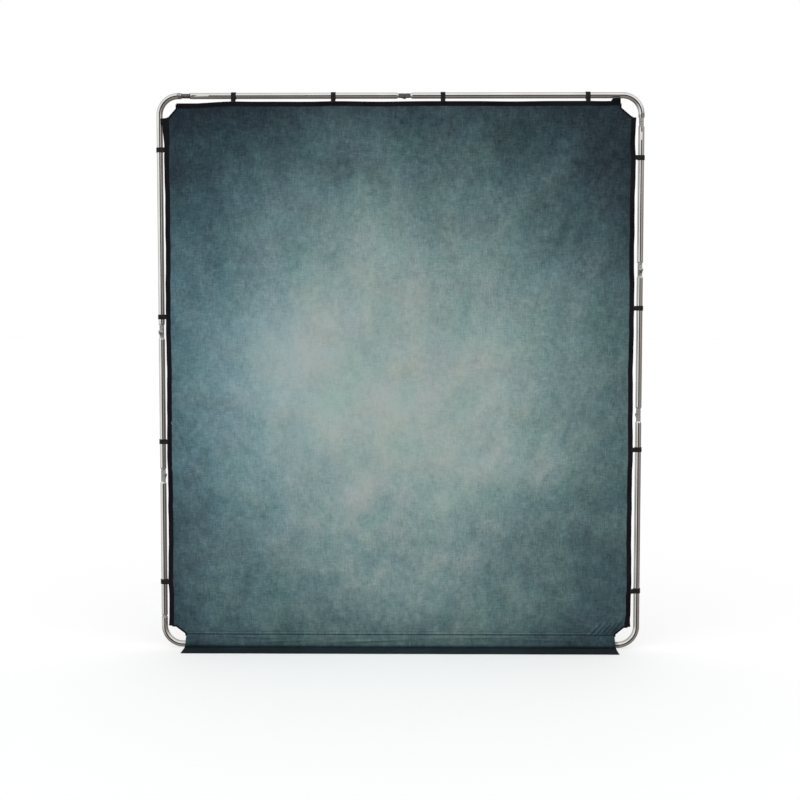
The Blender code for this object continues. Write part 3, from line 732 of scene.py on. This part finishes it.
def spigot_profile(neck, depth):
    """(length, radius) rows: stub, collar, waist, collar, insert and its chamfered tip, then the bore."""
    waist = COLLAR_LENGTH + COLLAR_TAPER
    outside = [
        (-STUB, SPIGOT_RADIUS),
        (EDGE, SPIGOT_RADIUS),
        (EDGE, COLLAR_RADIUS - EDGE),
        (EDGE * 2, COLLAR_RADIUS),
        (COLLAR_LENGTH, COLLAR_RADIUS),
        (waist, NECK_RADIUS),
        (neck - waist, NECK_RADIUS),
        (neck - COLLAR_LENGTH, COLLAR_RADIUS),
        (neck - EDGE * 2, COLLAR_RADIUS),
        (neck - EDGE, COLLAR_RADIUS - EDGE),
    ]
    if depth == 0:
        return np.array(outside + [(neck - EDGE, SPIGOT_BORE), (-STUB, SPIGOT_BORE)])
    tip, tip_radius = neck + depth, SPIGOT_RADIUS - TIP_STEP
    insert = [(neck - EDGE, SPIGOT_RADIUS), (tip - TIP_CHAMFER, SPIGOT_RADIUS), (tip, tip_radius)]
    return np.array(outside + insert + [(tip, SPIGOT_BORE), (-STUB, SPIGOT_BORE)])


def turned(name, profile, start, direction):
    """Turns (length, radius) rows about a line: start + length * direction + radius * a unit ring."""
    direction = np.asarray(direction, float)
    across = np.cross(direction, [0.0, 1.0, 0.0])
    turn = np.linspace(0, 2 * np.pi, TUBE_SIDES, endpoint=False)
    ring = np.cos(turn)[:, None] * across + np.sin(turn)[:, None] * np.array([0.0, 1.0, 0.0])
    length, radius = profile[:, 0], profile[:, 1]
    points = np.asarray(start) + length[:, None, None] * direction + radius[:, None, None] * ring
    uv = np.stack(np.broadcast_arrays(NECK_RADIUS * np.abs(turn - np.pi), length[:, None]), axis=-1)
    piece = grid_piece(name, points, uv, closed_rows=True, closed_columns=True)
    sharp_by_angle(piece, 40)
    return piece


def make_spigots():
    """Each starts at the mouth of its own tube and points at the other, and takes its button's hole."""
    left_mouth = span("tube_left_lower", Z)[0]
    bottom_mouth = span("corner_tube_bottom_right", X)[0]
    right_mouth = span("corner_tube_top_right", Z)[0]
    top_mouth = span("corner_tube_top_left", X)[1]
    rows = (
        ("spigot_bottom_left", "left_lower", (LEFT_X, left_mouth), (0, 0, -1), SHORT, "bottom_left"),
        ("spigot_bottom_right", "right_corner", (bottom_mouth, BOTTOM_Z), (-1, 0, 0), LONG, "bottom_right"),
        ("spigot_top_right", "top_corner", (RIGHT_X, right_mouth), (0, 0, -1), LONG, "top_right"),
        ("spigot_neck_top_left", "left_corner", (top_mouth, TOP_Z), (1, 0, 0), NECK_ONLY, None),
    )
    for node, body, mouth, direction, (neck, depth), button in rows:
        piece = turned("turned_" + node, spigot_profile(neck, depth), on_plane(*mouth), direction)
        if button:
            piece = with_button_hole(piece, "button_" + button)
        made = KNURL if depth == 0 else STEEL
        finish_piece(piece, made, body, "fitting_steel", node)
        print(node, "neck", neck, "insert", depth)


make_spigots()

# %% [markdown]
# ## Snap clips
#
# Each clip is black plastic: a ring, open at the back, that snaps on the tube, and a tongue that laps
# over the edging. The ring is a rounded section carried round an arc, the tongue a flat rounded bar,
# and a Boolean union makes them one. All twelve are made alike and turned to face their tube, and only
# the tongue's reach differs from side to side.

# %% One clip
RING_INNER, RING_OUTER, CLIP_LENGTH = 0.0128, 0.0152, 0.020
CLIP_OPENING = np.radians(38)  # half the ring's gap, each side of the back


def clip_points():
    """The ring's grid: a rounded section about a circle, from one lip round the front to the other."""
    section = rounded_section(RING_OUTER - RING_INNER, CLIP_LENGTH, power=7.0, count=24)
    turn = np.linspace(CLIP_OPENING, 2 * np.pi - CLIP_OPENING, 49)
    middle = (RING_INNER + RING_OUTER) / 2
    turn = turn[[0, *range(len(turn)), -1]]
    size = np.ones(len(turn))
    size[[0, -1]] = 0.0
    radius = middle + section[None, :, 0] * size[:, None]
    along = section[None, :, 1] * size[:, None]
    return np.stack([-np.sin(turn)[:, None] * radius, np.cos(turn)[:, None] * radius, along], axis=-1)


def tongue_points(reach):
    """A flat bar in front of the tube: from just past its centre line to the edging, rounded all round."""
    back, front = -RING_OUTER + 0.0008, CLOTH_Y - PLANE_Y - 0.0042
    section = rounded_section(CLIP_LENGTH - 0.001, back - front, power=6.0, count=24)
    run = np.array([-0.006, -0.006, -0.0055, -0.004, reach - 0.003, reach - 0.0008, reach, reach])
    size = np.array([0.0, 0.9, 0.98, 1.0, 1.0, 0.96, 0.86, 0.0])
    depth = (back + front) / 2 + section[None, :, 1] * size[:, None]
    along = section[None, :, 0] * size[:, None]
    return np.stack(np.broadcast_arrays(run[:, None], depth, along), axis=-1)


def make_clip(node, body, place, inwards, reach):
    """Turns the clip so that its tongue points inwards, puts it on its tube, and joins its two forms."""
    inwards = np.asarray(inwards, float)
    basis = np.stack([inwards, [0.0, 1.0, 0.0], np.cross(inwards, [0.0, 1.0, 0.0])])
    forms = []
    for points in (clip_points(), tongue_points(reach)):
        placed = np.asarray(place) + points @ basis
        forms.append(grid_piece("moulded_" + node, placed, points[..., [0, 2]], closed_columns=True))
    piece = combined(forms[0], forms[1], "UNION")
    piece.name = "moulded_" + node
    sharp_by_angle(piece, 40)
    piece.data.shade_smooth()
    finish_piece(piece, PLASTIC, body, "clip_plastic", node)


def make_clips():
    """Every clip node in the frame, by the side that its name gives."""
    inwards = {"left": (1, 0, 0), "right": (-1, 0, 0), "top": (0, 0, -1)}
    count = 0
    for body, owned in BODY_NODES.items():
        for node in owned:
            if not node.startswith("clip_"):
                continue
            side = node.split("_")[1]
            place = on_plane(sum(span(node, X)) / 2, TOP_Z)
            if side != "top":
                place = on_plane(LEFT_X if side == "left" else RIGHT_X, sum(span(node, Z)) / 2)
            make_clip(node, body, place, inwards[side], CLIP_REACH[side])
            count += 1
    print(count, "clips")


BODY_NODES = frame["record"]["behaviour"]["bodies"]
TONGUE_EXTRA = 0.006  # how far each tongue reaches past its node
CLIP_REACH = {
    "left": span("clip_left_1", X)[1] - LEFT_X + TONGUE_EXTRA,
    "right": RIGHT_X - span("clip_right_1", X)[0] + TONGUE_EXTRA,
    "top": TOP_Z - span("clip_top_1", Z)[0] + TONGUE_EXTRA,
}
make_clips()

# %% [markdown]
# ## How the cloth lies
#
# The cover is one sheet: it hangs in front of the tubes, turns forward where it meets the floor, and
# lies there as a skirt. Its places are all worked out by one function from two numbers: how far across
# it is, and how far down the cloth. The edging takes its depth from the same relief, so it follows the
# sheet.
#
# A simulation would settle a hanging sheet, but this one is pulled tight by clips, and what shows are
# creases at known places. Those are added directly instead: fans at the clips, slanting creases where
# the corners pull, ripples beside the edging, a raised seam, and soft waves over the rest.

# %% The sheet's outline
EDGING_WIDTH, EDGING_THICKNESS = 0.020, 0.0036
EDGE_LEFT, EDGE_RIGHT = span("edging_left", X)[0], span("edging_right", X)[1]
EDGE_TOP = span("edging_top_left", Z)[1]
SIDE_BOTTOM, SIDE_TOP = span("edging_left", Z)
TOP_LEFT, TOP_RIGHT = span("edging_top_left", X)[0], span("edging_top_right", X)[1]
SKIRT_HALF = span("apron_right", X)[1]
APRON_FRONT = span("apron_left", Y)[0]
CORNER_DROP, CORNER_STEP = 0.031, 0.012
TUCK = 0.008  # how far the sheet goes in under its edging
FLOOR_BEND = 0.014
FLOOR_LIFT = 0.0011
SHEET_TOP = EDGE_TOP - TUCK


def edge_offset(z, corner_x, side_x, skirt_x):
    """The sheet's half-width at each height, from the cut corners down to the skirt."""
    low, high = SIDE_BOTTOM + 0.001, SIDE_TOP - 0.001
    heights = [0.0, SKIRT_SEAM, SIDE_BOTTOM, low, high, SIDE_TOP, EDGE_TOP - CORNER_DROP]
    inner = side_x - EDGING_WIDTH + 0.001
    offsets = [skirt_x, skirt_x - 0.007, inner - CORNER_STEP, side_x - TUCK, side_x - TUCK, inner, corner_x]
    return np.interp(z, heights, offsets)


def left_edge(z):
    return -edge_offset(z, -TOP_LEFT, -EDGE_LEFT, SKIRT_HALF + 0.002)


def right_edge(z):
    return edge_offset(z, TOP_RIGHT, EDGE_RIGHT, SKIRT_HALF + 0.002)


# %% Creases
def crease(x, z, centre, angle, length, width, depth):
    """One fold: a ridge with a Gaussian profile across its line, fading out along it."""
    turn = np.radians(angle)
    along = (x - centre[0]) * np.cos(turn) + (z - centre[1]) * np.sin(turn)
    across = (z - centre[1]) * np.cos(turn) - (x - centre[0]) * np.sin(turn)
    return depth * np.exp(-((along / length) ** 2) - (across / width) ** 2)


FAN_REACH, FAN_START, FAN_DEPTH, FAN_RIDGES = 0.10, 0.03, 0.0016, 5.5


def fan(x, z, centre, inwards):
    """Creases that spread from a clip: a cosine of the angle, fading with distance from the clip."""
    away_x, away_z = x - centre[0], z - centre[1]
    distance = np.hypot(away_x, away_z) + 1e-6
    ahead = (away_x * inwards[0] + away_z * inwards[1]) / distance
    angle = np.arctan2(away_z * inwards[0] - away_x * inwards[1], away_x * inwards[0] + away_z * inwards[1])
    fades = np.exp(-distance / FAN_REACH) * smoothstep(distance / FAN_START) * np.clip(ahead, 0, 1)
    return FAN_DEPTH * np.cos(FAN_RIDGES * angle) * fades


CREASES = (  # centre, angle, length, width, depth: where the sheet is pulled out of flat
    ((-0.925, 0.905), -62, 0.075, 0.006, 0.0040),
    ((-0.905, 0.850), -58, 0.085, 0.007, 0.0036),
    ((-0.880, 0.780), -50, 0.070, 0.007, 0.0032),
    ((-0.930, 0.720), -66, 0.060, 0.006, 0.0030),
    ((-0.860, 0.700), -78, 0.120, 0.009, 0.0022),
    ((0.902, 0.096), 50, 0.038, 0.0060, 0.0090),
    ((0.880, 0.090), 50, 0.042, 0.0060, 0.0090),
    ((0.858, 0.086), 49, 0.042, 0.0060, 0.0086),
    ((0.836, 0.083), 48, 0.038, 0.0060, 0.0080),
    ((0.814, 0.084), 48, 0.032, 0.0060, 0.0066),
    ((0.846, 0.030), -52, 0.022, 0.0070, 0.0050),
    ((-0.140, 0.030), 2, 0.150, 0.0050, 0.0034),
    ((-0.640, 0.046), -2, 0.120, 0.0040, 0.0020),
    ((0.300, 0.044), 1, 0.170, 0.0042, 0.0018),
    ((0.620, 0.034), -2, 0.110, 0.0045, 0.0022),
    ((-0.500, 0.028), 2, 0.100, 0.0050, 0.0020),
    ((-0.870, 0.250), 84, 0.160, 0.011, 0.0020),
    ((0.905, 1.050), 80, 0.180, 0.010, 0.0022),
    ((0.900, 0.560), 86, 0.150, 0.010, 0.0018),
    ((-0.560, 0.180), 72, 0.110, 0.012, 0.0018),
    ((0.410, 0.150), -70, 0.090, 0.010, 0.0016),
)
rng = np.random.default_rng(23)
WAVES = [
    (rng.uniform(1.5, 6.5), rng.uniform(-1.3, 1.3), rng.uniform(0, 2 * np.pi), rng.uniform(0.3, 1.0))
    for _ in range(7)
]
RIPPLES = [(rng.uniform(16, 42), rng.uniform(-6, 6), rng.uniform(0, 2 * np.pi)) for _ in range(6)]
WAVE_DEPTH, RIPPLE_DEPTH, RIPPLE_REACH = 0.0009, 0.00045, 0.075
SEAM_RIDGE, SEAM_RIDGE_WIDTH = 0.0016, 0.0035
SEAM_GROOVE, SEAM_GROOVE_WIDTH, SEAM_GROOVE_AWAY = 0.0012, 0.003, 0.006
DEEPEST, HIGHEST = -0.006, 0.009  # the relief's limits


def waves(x, z):
    """Soft undulation: a sum of slow sines, a little stronger low down, where the sheet hangs free."""
    total = np.zeros(np.broadcast(x, z).shape)
    for turns, slant, phase, size in WAVES:
        total = total + size * np.sin(turns * (x + slant * z) * 2 + phase)
    return WAVE_DEPTH * total * (1.25 - 0.3 * z)


def edge_ripples(x, z):
    """Finer upright ripples close to the sides, where the stretch of the edging gathers the cloth."""
    beside = np.exp(-np.minimum(x - EDGE_LEFT, EDGE_RIGHT - x) / RIPPLE_REACH)
    total = np.zeros(np.broadcast(x, z).shape)
    for turns, slant, phase in RIPPLES:
        total = total + np.sin(turns * z + slant * x * 6 + phase)
    return RIPPLE_DEPTH * total * beside


def relief(x, z):
    """How far the hanging sheet stands forward of its plane, held back to nothing near the floor."""
    total = waves(x, z) + edge_ripples(x, z)
    for centre, angle, length, width, depth in CREASES:
        total = total + crease(x, z, centre, angle, length, width, depth)
    for node in CLIP_NODES:
        low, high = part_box(node)
        side = node.split("_")[1]
        centre = ((low[X] + high[X]) / 2, (low[Z] + high[Z]) / 2)
        inwards = {"left": (1, 0), "right": (-1, 0), "top": (0, -1)}[side]
        total = total + fan(x, z, centre, inwards)
    seam = np.abs(z - SKIRT_SEAM)
    total = total + SEAM_RIDGE * np.exp(-((seam / SEAM_RIDGE_WIDTH) ** 2))
    total = total - SEAM_GROOVE * np.exp(-(((seam - SEAM_GROOVE_AWAY) / SEAM_GROOVE_WIDTH) ** 2))
    return np.clip(total, DEEPEST, HIGHEST) * smoothstep((z - FLOOR_BEND * 0.3) / 0.02)


CLIP_NODES = [node for owned in BODY_NODES.values() for node in owned if node.startswith("clip_")]


def cloth_place(x, down):
    """A point on the sheet, this far across and this far down from its top edge: straight down, round a
    quarter turn, and forward over the floor."""
    bend_start = SHEET_TOP - FLOOR_BEND - FLOOR_LIFT
    turn = np.clip((down - bend_start) / FLOOR_BEND, 0, np.pi / 2)
    forward = np.clip(down - bend_start - FLOOR_BEND * np.pi / 2, 0, None)
    z = np.where(down < bend_start, SHEET_TOP - down, FLOOR_LIFT + FLOOR_BEND * (1 - np.sin(turn)))
    y = CLOTH_Y - FLOOR_BEND * (1 - np.cos(turn)) - forward
    hanging = CLOTH_Y - relief(x, np.maximum(z, 0.0))
    y = np.where(down < bend_start, hanging, y - relief(x, z) * (forward == 0))
    lying = 0.0022 * np.abs(np.sin(9.0 * x + 1.1)) ** 5 * smoothstep(forward / 0.03)
    return np.stack(np.broadcast_arrays(x, y, z + lying), axis=-1)


# %% The cover
FOLD_ZONE = 0.035  # half the width of the cloth over the book fold, where its columns lie closer together
CANVAS_THICKNESS = 0.0008


def sheet_columns():
    """Places from -1 to 1 across the sheet, closer together at the sides and over the fold."""
    even = np.linspace(-1, 1, 241)
    sides = np.linspace(0.84, 1, 41)
    fold = (FOLD_X + np.linspace(-FOLD_ZONE, FOLD_ZONE, 15)) / SKIRT_HALF
    return np.unique(np.round(np.concatenate([even, sides, -sides, fold]), 4))


def sheet_rows(length):
    """Distances down the sheet, closer together near the cut corners, the seam and the floor."""
    key = SHEET_TOP - np.array([SIDE_TOP, SIDE_BOTTOM, SKIRT_SEAM, EDGE_TOP - CORNER_DROP])
    even = np.linspace(0, SHEET_TOP - 0.26, 200)
    low = np.linspace(SHEET_TOP - 0.26, SHEET_TOP, 120)
    floor = np.linspace(SHEET_TOP, length, 26)[1:]
    top = np.linspace(0, 0.07, 24)
    return np.unique(np.round(np.concatenate([even, low, floor, top, key, key + 0.001, key - 0.001]), 4))


def make_cover():
    bend_saving = FLOOR_BEND * (2 - np.pi / 2)
    length = SHEET_TOP - FLOOR_LIFT + (CLOTH_Y - APRON_FRONT) - bend_saving
    down = sheet_rows(length)[:, None]
    height = np.maximum(SHEET_TOP - down, 0.0)
    share = (sheet_columns()[None, :] + 1) / 2
    x = left_edge(height) * (1 - share) + right_edge(height) * share
    points = cloth_place(x, down)
    uv = np.stack(np.broadcast_arrays(x, -down), axis=-1)
    piece = grid_piece("backdrop_cover", points[::-1], uv[::-1])
    widths = (right_edge(height) - left_edge(height))[:, 0]
    area = float(np.sum((widths[1:] + widths[:-1]) / 2 * np.diff(down[:, 0])))
    shell = piece.modifiers.new("thickness", "SOLIDIFY")
    shell.thickness = CANVAS_THICKNESS
    shell.offset = 0.0
    width = float(widths.max())
    print("cover", points.shape, "flat", round(width, 3), round(length, 3), "area", round(area, 3))
    replaced = ("cover_left", "cover_right", "apron_left", "apron_right")
    finish_piece(piece, CANVAS, None, "painted_canvas", *replaced)
    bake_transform(piece)
    return piece, (width, length), area


cover, cover_flat, cover_area = make_cover()

# %% [markdown]
# ## Edging and bindings
#
# Black webbing is folded over the sheet's straight edges, and a narrow tape binds the corners that are
# cut off. Each is a flat rounded section carried along a line that lies on the sheet. The lines wander
# a little, because the edging is only held at its clips, and it bows inwards between them. Its upper
# left and lower right ends flare, the top one's left end droops, and its right end is doubled over.

# %% Edging lines
EDGING_FOLLOWS = 0.9  # the share of the sheet's relief that the edging takes


def band_path(x, z):
    """Points along an edging line, which takes most of the sheet's relief: a stiff tape evens it out."""
    x, z = np.broadcast_arrays(np.asarray(x, float), np.asarray(z, float))
    return np.stack([x, CLOTH_Y - relief(x, z) * EDGING_FOLLOWS, z], axis=-1)


def held_bow(place, clips, depth):
    """Zero at each clip and at most this deep between two of them: the sine of the share of the span."""
    marks = np.concatenate([[place.min()], np.sort(clips), [place.max()]])
    index = np.clip(np.searchsorted(marks, place, side="right") - 1, 0, len(marks) - 2)
    share = (place - marks[index]) / np.maximum(marks[index + 1] - marks[index], 1e-6)
    return depth * np.sin(np.pi * share)


def clip_places(side, axis):
    return np.array([sum(span(node, axis)) / 2 for node in CLIP_NODES if f"_{side}_" in node])


def side_edging(side):
    """One side's edging and its width, from its lower end up to its flared top end. An end that flares
    widens on its outer edge only, so its middle moves out by half of what the width gains."""
    edge = EDGE_LEFT if side == "left" else EDGE_RIGHT
    inwards = 1 if side == "left" else -1
    z = np.linspace(SIDE_BOTTOM, SIDE_TOP, 240)
    bow = held_bow(z, clip_places(side, Z), 0.0028)
    jitter = 0.0006 * np.sin(27 * z + 1.7) + 0.0004 * np.sin(61 * z)
    top = np.clip((z - (SIDE_TOP - 0.125)) / 0.125, 0, 1) * {"left": 0.0125, "right": 0.0}[side]
    bottom = smoothstep((SIDE_BOTTOM + 0.045 - z) / 0.045) * {"left": 0.0, "right": 0.0055}[side]
    tuck = {"left": 0.001, "right": 0.0085}[side] * smoothstep((SIDE_BOTTOM + 0.06 - z) / 0.06)
    middle = edge + inwards * (EDGING_WIDTH / 2 + bow + jitter + tuck - (top + bottom) / 2)
    return band_path(middle, z), 1 + (top + bottom) / EDGING_WIDTH


def top_edging():
    """The top edging and its width: its left end droops, and its right end is doubled over and wider."""
    x = np.linspace(TOP_LEFT, TOP_RIGHT, 420)
    bow = held_bow(x, clip_places("top", X), 0.0022)
    droop = 0.0085 * smoothstep((TOP_LEFT + 0.24 - x) / 0.24)
    doubled = 0.011 * smoothstep((x - 0.864) / 0.010)
    jitter = 0.0005 * np.sin(23 * x + 0.4)
    middle = EDGE_TOP - EDGING_WIDTH / 2 - bow - droop + doubled / 2 + jitter
    return band_path(x, middle), 1 + doubled / EDGING_WIDTH


EDGING_SECTION = rounded_section(EDGING_WIDTH, EDGING_THICKNESS)
BINDING_SECTION = rounded_section(0.0075, 0.0034, power=4.0)


def make_edging():
    """Both sides ride with their half of the frame; the top one spans the fold and rides with neither."""
    made = []
    for side in ("left", "right"):
        path, width = side_edging(side)
        piece = swept("webbing_edging_" + side, path, EDGING_SECTION, width)
        made.append(finish_piece(piece, WEBBING, side + "_base", "edging_webbing", "edging_" + side))
    path, width = top_edging()
    top = swept("webbing_edging_top", path, EDGING_SECTION, width)
    finish_piece(top, WEBBING, None, "edging_webbing", "edging_top_left", "edging_top_right")
    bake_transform(top)
    print("edging", [len(piece.data.polygons) for piece in (*made, top)], "faces")
    return [*made, top]


# %% Corner bindings
POINTS_A_RUN = 22


def along_points(corners):
    """Points evenly spread along straight runs between corners, each corner slightly rounded off."""
    corners = np.asarray(corners, float)
    run = np.concatenate([[0.0], np.cumsum(np.linalg.norm(np.diff(corners, axis=0), axis=1))])
    place = np.linspace(0, run[-1], POINTS_A_RUN * (len(corners) - 1))
    line = np.stack([np.interp(place, run, corners[:, i]) for i in (0, 1)], axis=1)
    padded = np.vstack([line[:1], line, line[-1:]])
    return (padded[:-2] + 2 * padded[1:-1] + padded[2:]) / 4


def corner_lines():
    """The four cut corners, each as (x, z) corners from its upper end to its lower one."""
    lines = {}
    for side, sign, top_end, edge in (("left", -1, TOP_LEFT, EDGE_LEFT), ("right", 1, TOP_RIGHT, EDGE_RIGHT)):
        inner = edge - sign * EDGING_WIDTH
        lines["top_" + side] = [
            (top_end, EDGE_TOP - EDGING_WIDTH * 0.6),
            (top_end, EDGE_TOP - CORNER_DROP),
            (inner, SIDE_TOP),
            (inner + sign * 0.006, SIDE_TOP),
        ]
        lines["bottom_" + side] = [
            (inner + sign * 0.006, SIDE_BOTTOM),
            (inner - sign * CORNER_STEP, SIDE_BOTTOM - 0.001),
            (sign * (SKIRT_HALF - 0.005), SKIRT_SEAM),
            (sign * (SKIRT_HALF - 0.003), SKIRT_SEAM - 0.010),
        ]
    return lines


def make_bindings():
    made = []
    for name, corners in corner_lines().items():
        line = along_points(corners)
        piece = swept("corner_binding_" + name, band_path(line[:, 0], line[:, 1]), BINDING_SECTION)
        made.append(finish_piece(piece, BINDING, name.split("_")[1] + "_base", "edging_webbing"))
    print("bindings", [piece.name for piece in made])
    return made


def make_hem():
    """The skirt's turned-under hem: a low rounded band along its front edge, on the floor."""
    half = SKIRT_HALF + 0.002
    x = np.linspace(-half, half, 300)
    y = np.full_like(x, APRON_FRONT + 0.006)
    path = np.stack([x, y, np.full_like(x, 0.0019)], axis=-1)
    section = rounded_section(0.0030, 0.0115, power=4.0)
    hem = swept("skirt_hem", path, section)
    finish_piece(hem, CANVAS, None, "painted_canvas")
    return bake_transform(hem)


trim = [*make_edging(), *make_bindings(), make_hem()]

# %% [markdown]
# ## Finishes for the working parts
#
# Hinges, pins, buttons and the top left spigot's core keep the shapes they arrived with and only
# change material. The two halves of the top hinge are darker than the others.

# %% Materials on the frame's own nodes
DARK_STEEL = satin_fitting("dull_steel", (0.30, 0.30, 0.30), 0.40)


def refinish(node, made):
    """Puts one material in every slot of a node's object."""
    data = nodes[node].data
    for index in range(max(len(data.materials), 1)):
        if index < len(data.materials):
            data.materials[index] = made
        else:
            data.materials.append(made)


for body, owned in BODY_NODES.items():
    for node in owned:
        if node.startswith("button_"):
            refinish(node, BUTTON)
        elif node.startswith(("hinge_fork_top", "hinge_eye_top")):
            refinish(node, DARK_STEEL)
        elif node.startswith(("hinge_", "spigot_")):
            refinish(node, STEEL)
print("kept nodes", sum(node.startswith(("hinge_", "button_", "spigot_core")) for node in nodes))

# %% [markdown]
# ## Floor, camera and light
#
# The setting is a white studio: a pale floor, a white surround, and one wide, far light from the front
# left, far enough to the side to show the creases. It casts no shadow, so the floor stays even.
# Polished tube in an all white room can't be seen, so reflections meet a surround of their own: white
# above and on the left, brownish grey below and on the right, a dark patch ahead of the panel, and a
# darker room behind it. It draws the dark lines along the tubes.

# %% Floor
FLOOR_HALF, FLOOR_DROP = 60.0, -0.0004


def make_floor():
    side = np.array([-FLOOR_HALF, FLOOR_HALF])
    x, y = np.meshgrid(side, side)
    points = np.stack([x, y, np.full_like(x, FLOOR_DROP)], axis=-1)
    floor = grid_piece("studio_floor", points, points[..., :2])
    made, _, shader, _ = new_material("pale_floor", 0.75)
    shader.inputs["Base Color"].default_value = (0.93, 0.93, 0.93, 1.0)
    floor.data.materials.append(made)
    floor.visible_glossy = False


make_floor()

# %% Camera
CAMERA_DISTANCE, CAMERA_X, CAMERA_Z, AIM_Z, LENS = 6.0, 0.082, 1.427, 1.039, 65.2


def make_camera():
    data = bpy.data.cameras.new("camera")
    data.lens = LENS
    camera = bpy.data.objects.new("camera", data)
    bpy.context.scene.collection.objects.link(camera)
    camera.location = (CAMERA_X, PLANE_Y - CAMERA_DISTANCE, CAMERA_Z)
    aim = Vector((0.0, PLANE_Y, AIM_Z)) - camera.location
    camera.rotation_euler = aim.to_track_quat("-Z", "Y").to_euler()
    bpy.context.scene.camera = camera
    print("camera", tuple(round(value, 3) for value in camera.location))


make_camera()

# %% Light
SUN_ANGLE = 0.7
KEY_PLACE, KEY_AIM, KEY_STRENGTH = (-3.4, -3.6, 3.5), (0.0, 0.0, 0.0), 2.9


def far_light(name, place, aim, strength):
    """A wide, far light without a shadow, so that it shows creases and leaves the floor even."""
    data = bpy.data.lights.new(name, "SUN")
    data.angle, data.energy, data.use_shadow = SUN_ANGLE, strength, False
    light = bpy.data.objects.new(name, data)
    bpy.context.scene.collection.objects.link(light)
    light.location = place
    light.visible_glossy = False
    light.rotation_euler = (Vector(aim) - Vector(place)).to_track_quat("-Z", "Y").to_euler()


WHITE, SURROUND = (1.0, 1.0, 1.0), 0.60
ABOVE, BELOW, AHEAD = (1.0, 1.0, 0.99), (0.30, 0.27, 0.25), (0.03, 0.03, 0.035)
BEHIND_SHADE = (0.42, 0.40, 0.39)
LEAN = 0.35  # how far the white part tilts to the left
LEVEL_WHITE, TOP_WHITE = 0.55, 2.4  # its share level with the panel and straight above, held to 1
AHEAD_HALF_WIDTH, AHEAD_HALF_HEIGHT, BEHIND_FROM = 0.34, 0.31, 0.30


def make_world():
    """Even white light, with the surround that only reflections meet. Its parts are worked out from the
    direction: across is -1 at the left and 1 at the right, and height is -1 below and 1 above."""
    world = bpy.data.worlds.new("studio")
    bpy.context.scene.world = world
    world.use_nodes = True
    tree = world.node_tree
    background = tree.nodes["Background"]
    ray = tree.nodes.new("ShaderNodeLightPath")
    place = tree.nodes.new("ShaderNodeTexCoord")
    split = tree.nodes.new("ShaderNodeSeparateXYZ")
    tree.links.new(place.outputs["Generated"], split.inputs[0])
    across, height = split.outputs[X], split.outputs[Z]
    lean = maths(tree, "SUBTRACT", height, maths(tree, "MULTIPLY", across, LEAN))
    upper = clamped(tree, scaled_range(tree, lean, LEVEL_WHITE, TOP_WHITE))
    narrow = maths(tree, "LESS_THAN", maths(tree, "ABSOLUTE", across), AHEAD_HALF_WIDTH)
    low = maths(tree, "LESS_THAN", maths(tree, "ABSOLUTE", height), AHEAD_HALF_HEIGHT)
    front = maths(tree, "LESS_THAN", split.outputs[Y], 0.0)
    patch = maths(tree, "MULTIPLY", maths(tree, "MULTIPLY", narrow, low), front)
    behind = maths(tree, "GREATER_THAN", split.outputs[Y], BEHIND_FROM)
    seen = mixed(tree, patch, mixed(tree, upper, BELOW, ABOVE), AHEAD)
    seen = mixed(tree, behind, seen, BEHIND_SHADE, "MULTIPLY")
    seen = mixed(tree, ray.outputs["Is Glossy Ray"], WHITE, seen)
    tree.links.new(seen, background.inputs["Color"])
    whole = maths(tree, "MAXIMUM", ray.outputs["Is Camera Ray"], ray.outputs["Is Glossy Ray"])
    tree.links.new(maths(tree, "MAXIMUM", whole, SURROUND), background.inputs["Strength"])


make_world()
bpy.context.scene.view_settings.view_transform = "Standard"
far_light("key_soft", KEY_PLACE, KEY_AIM, KEY_STRENGTH)
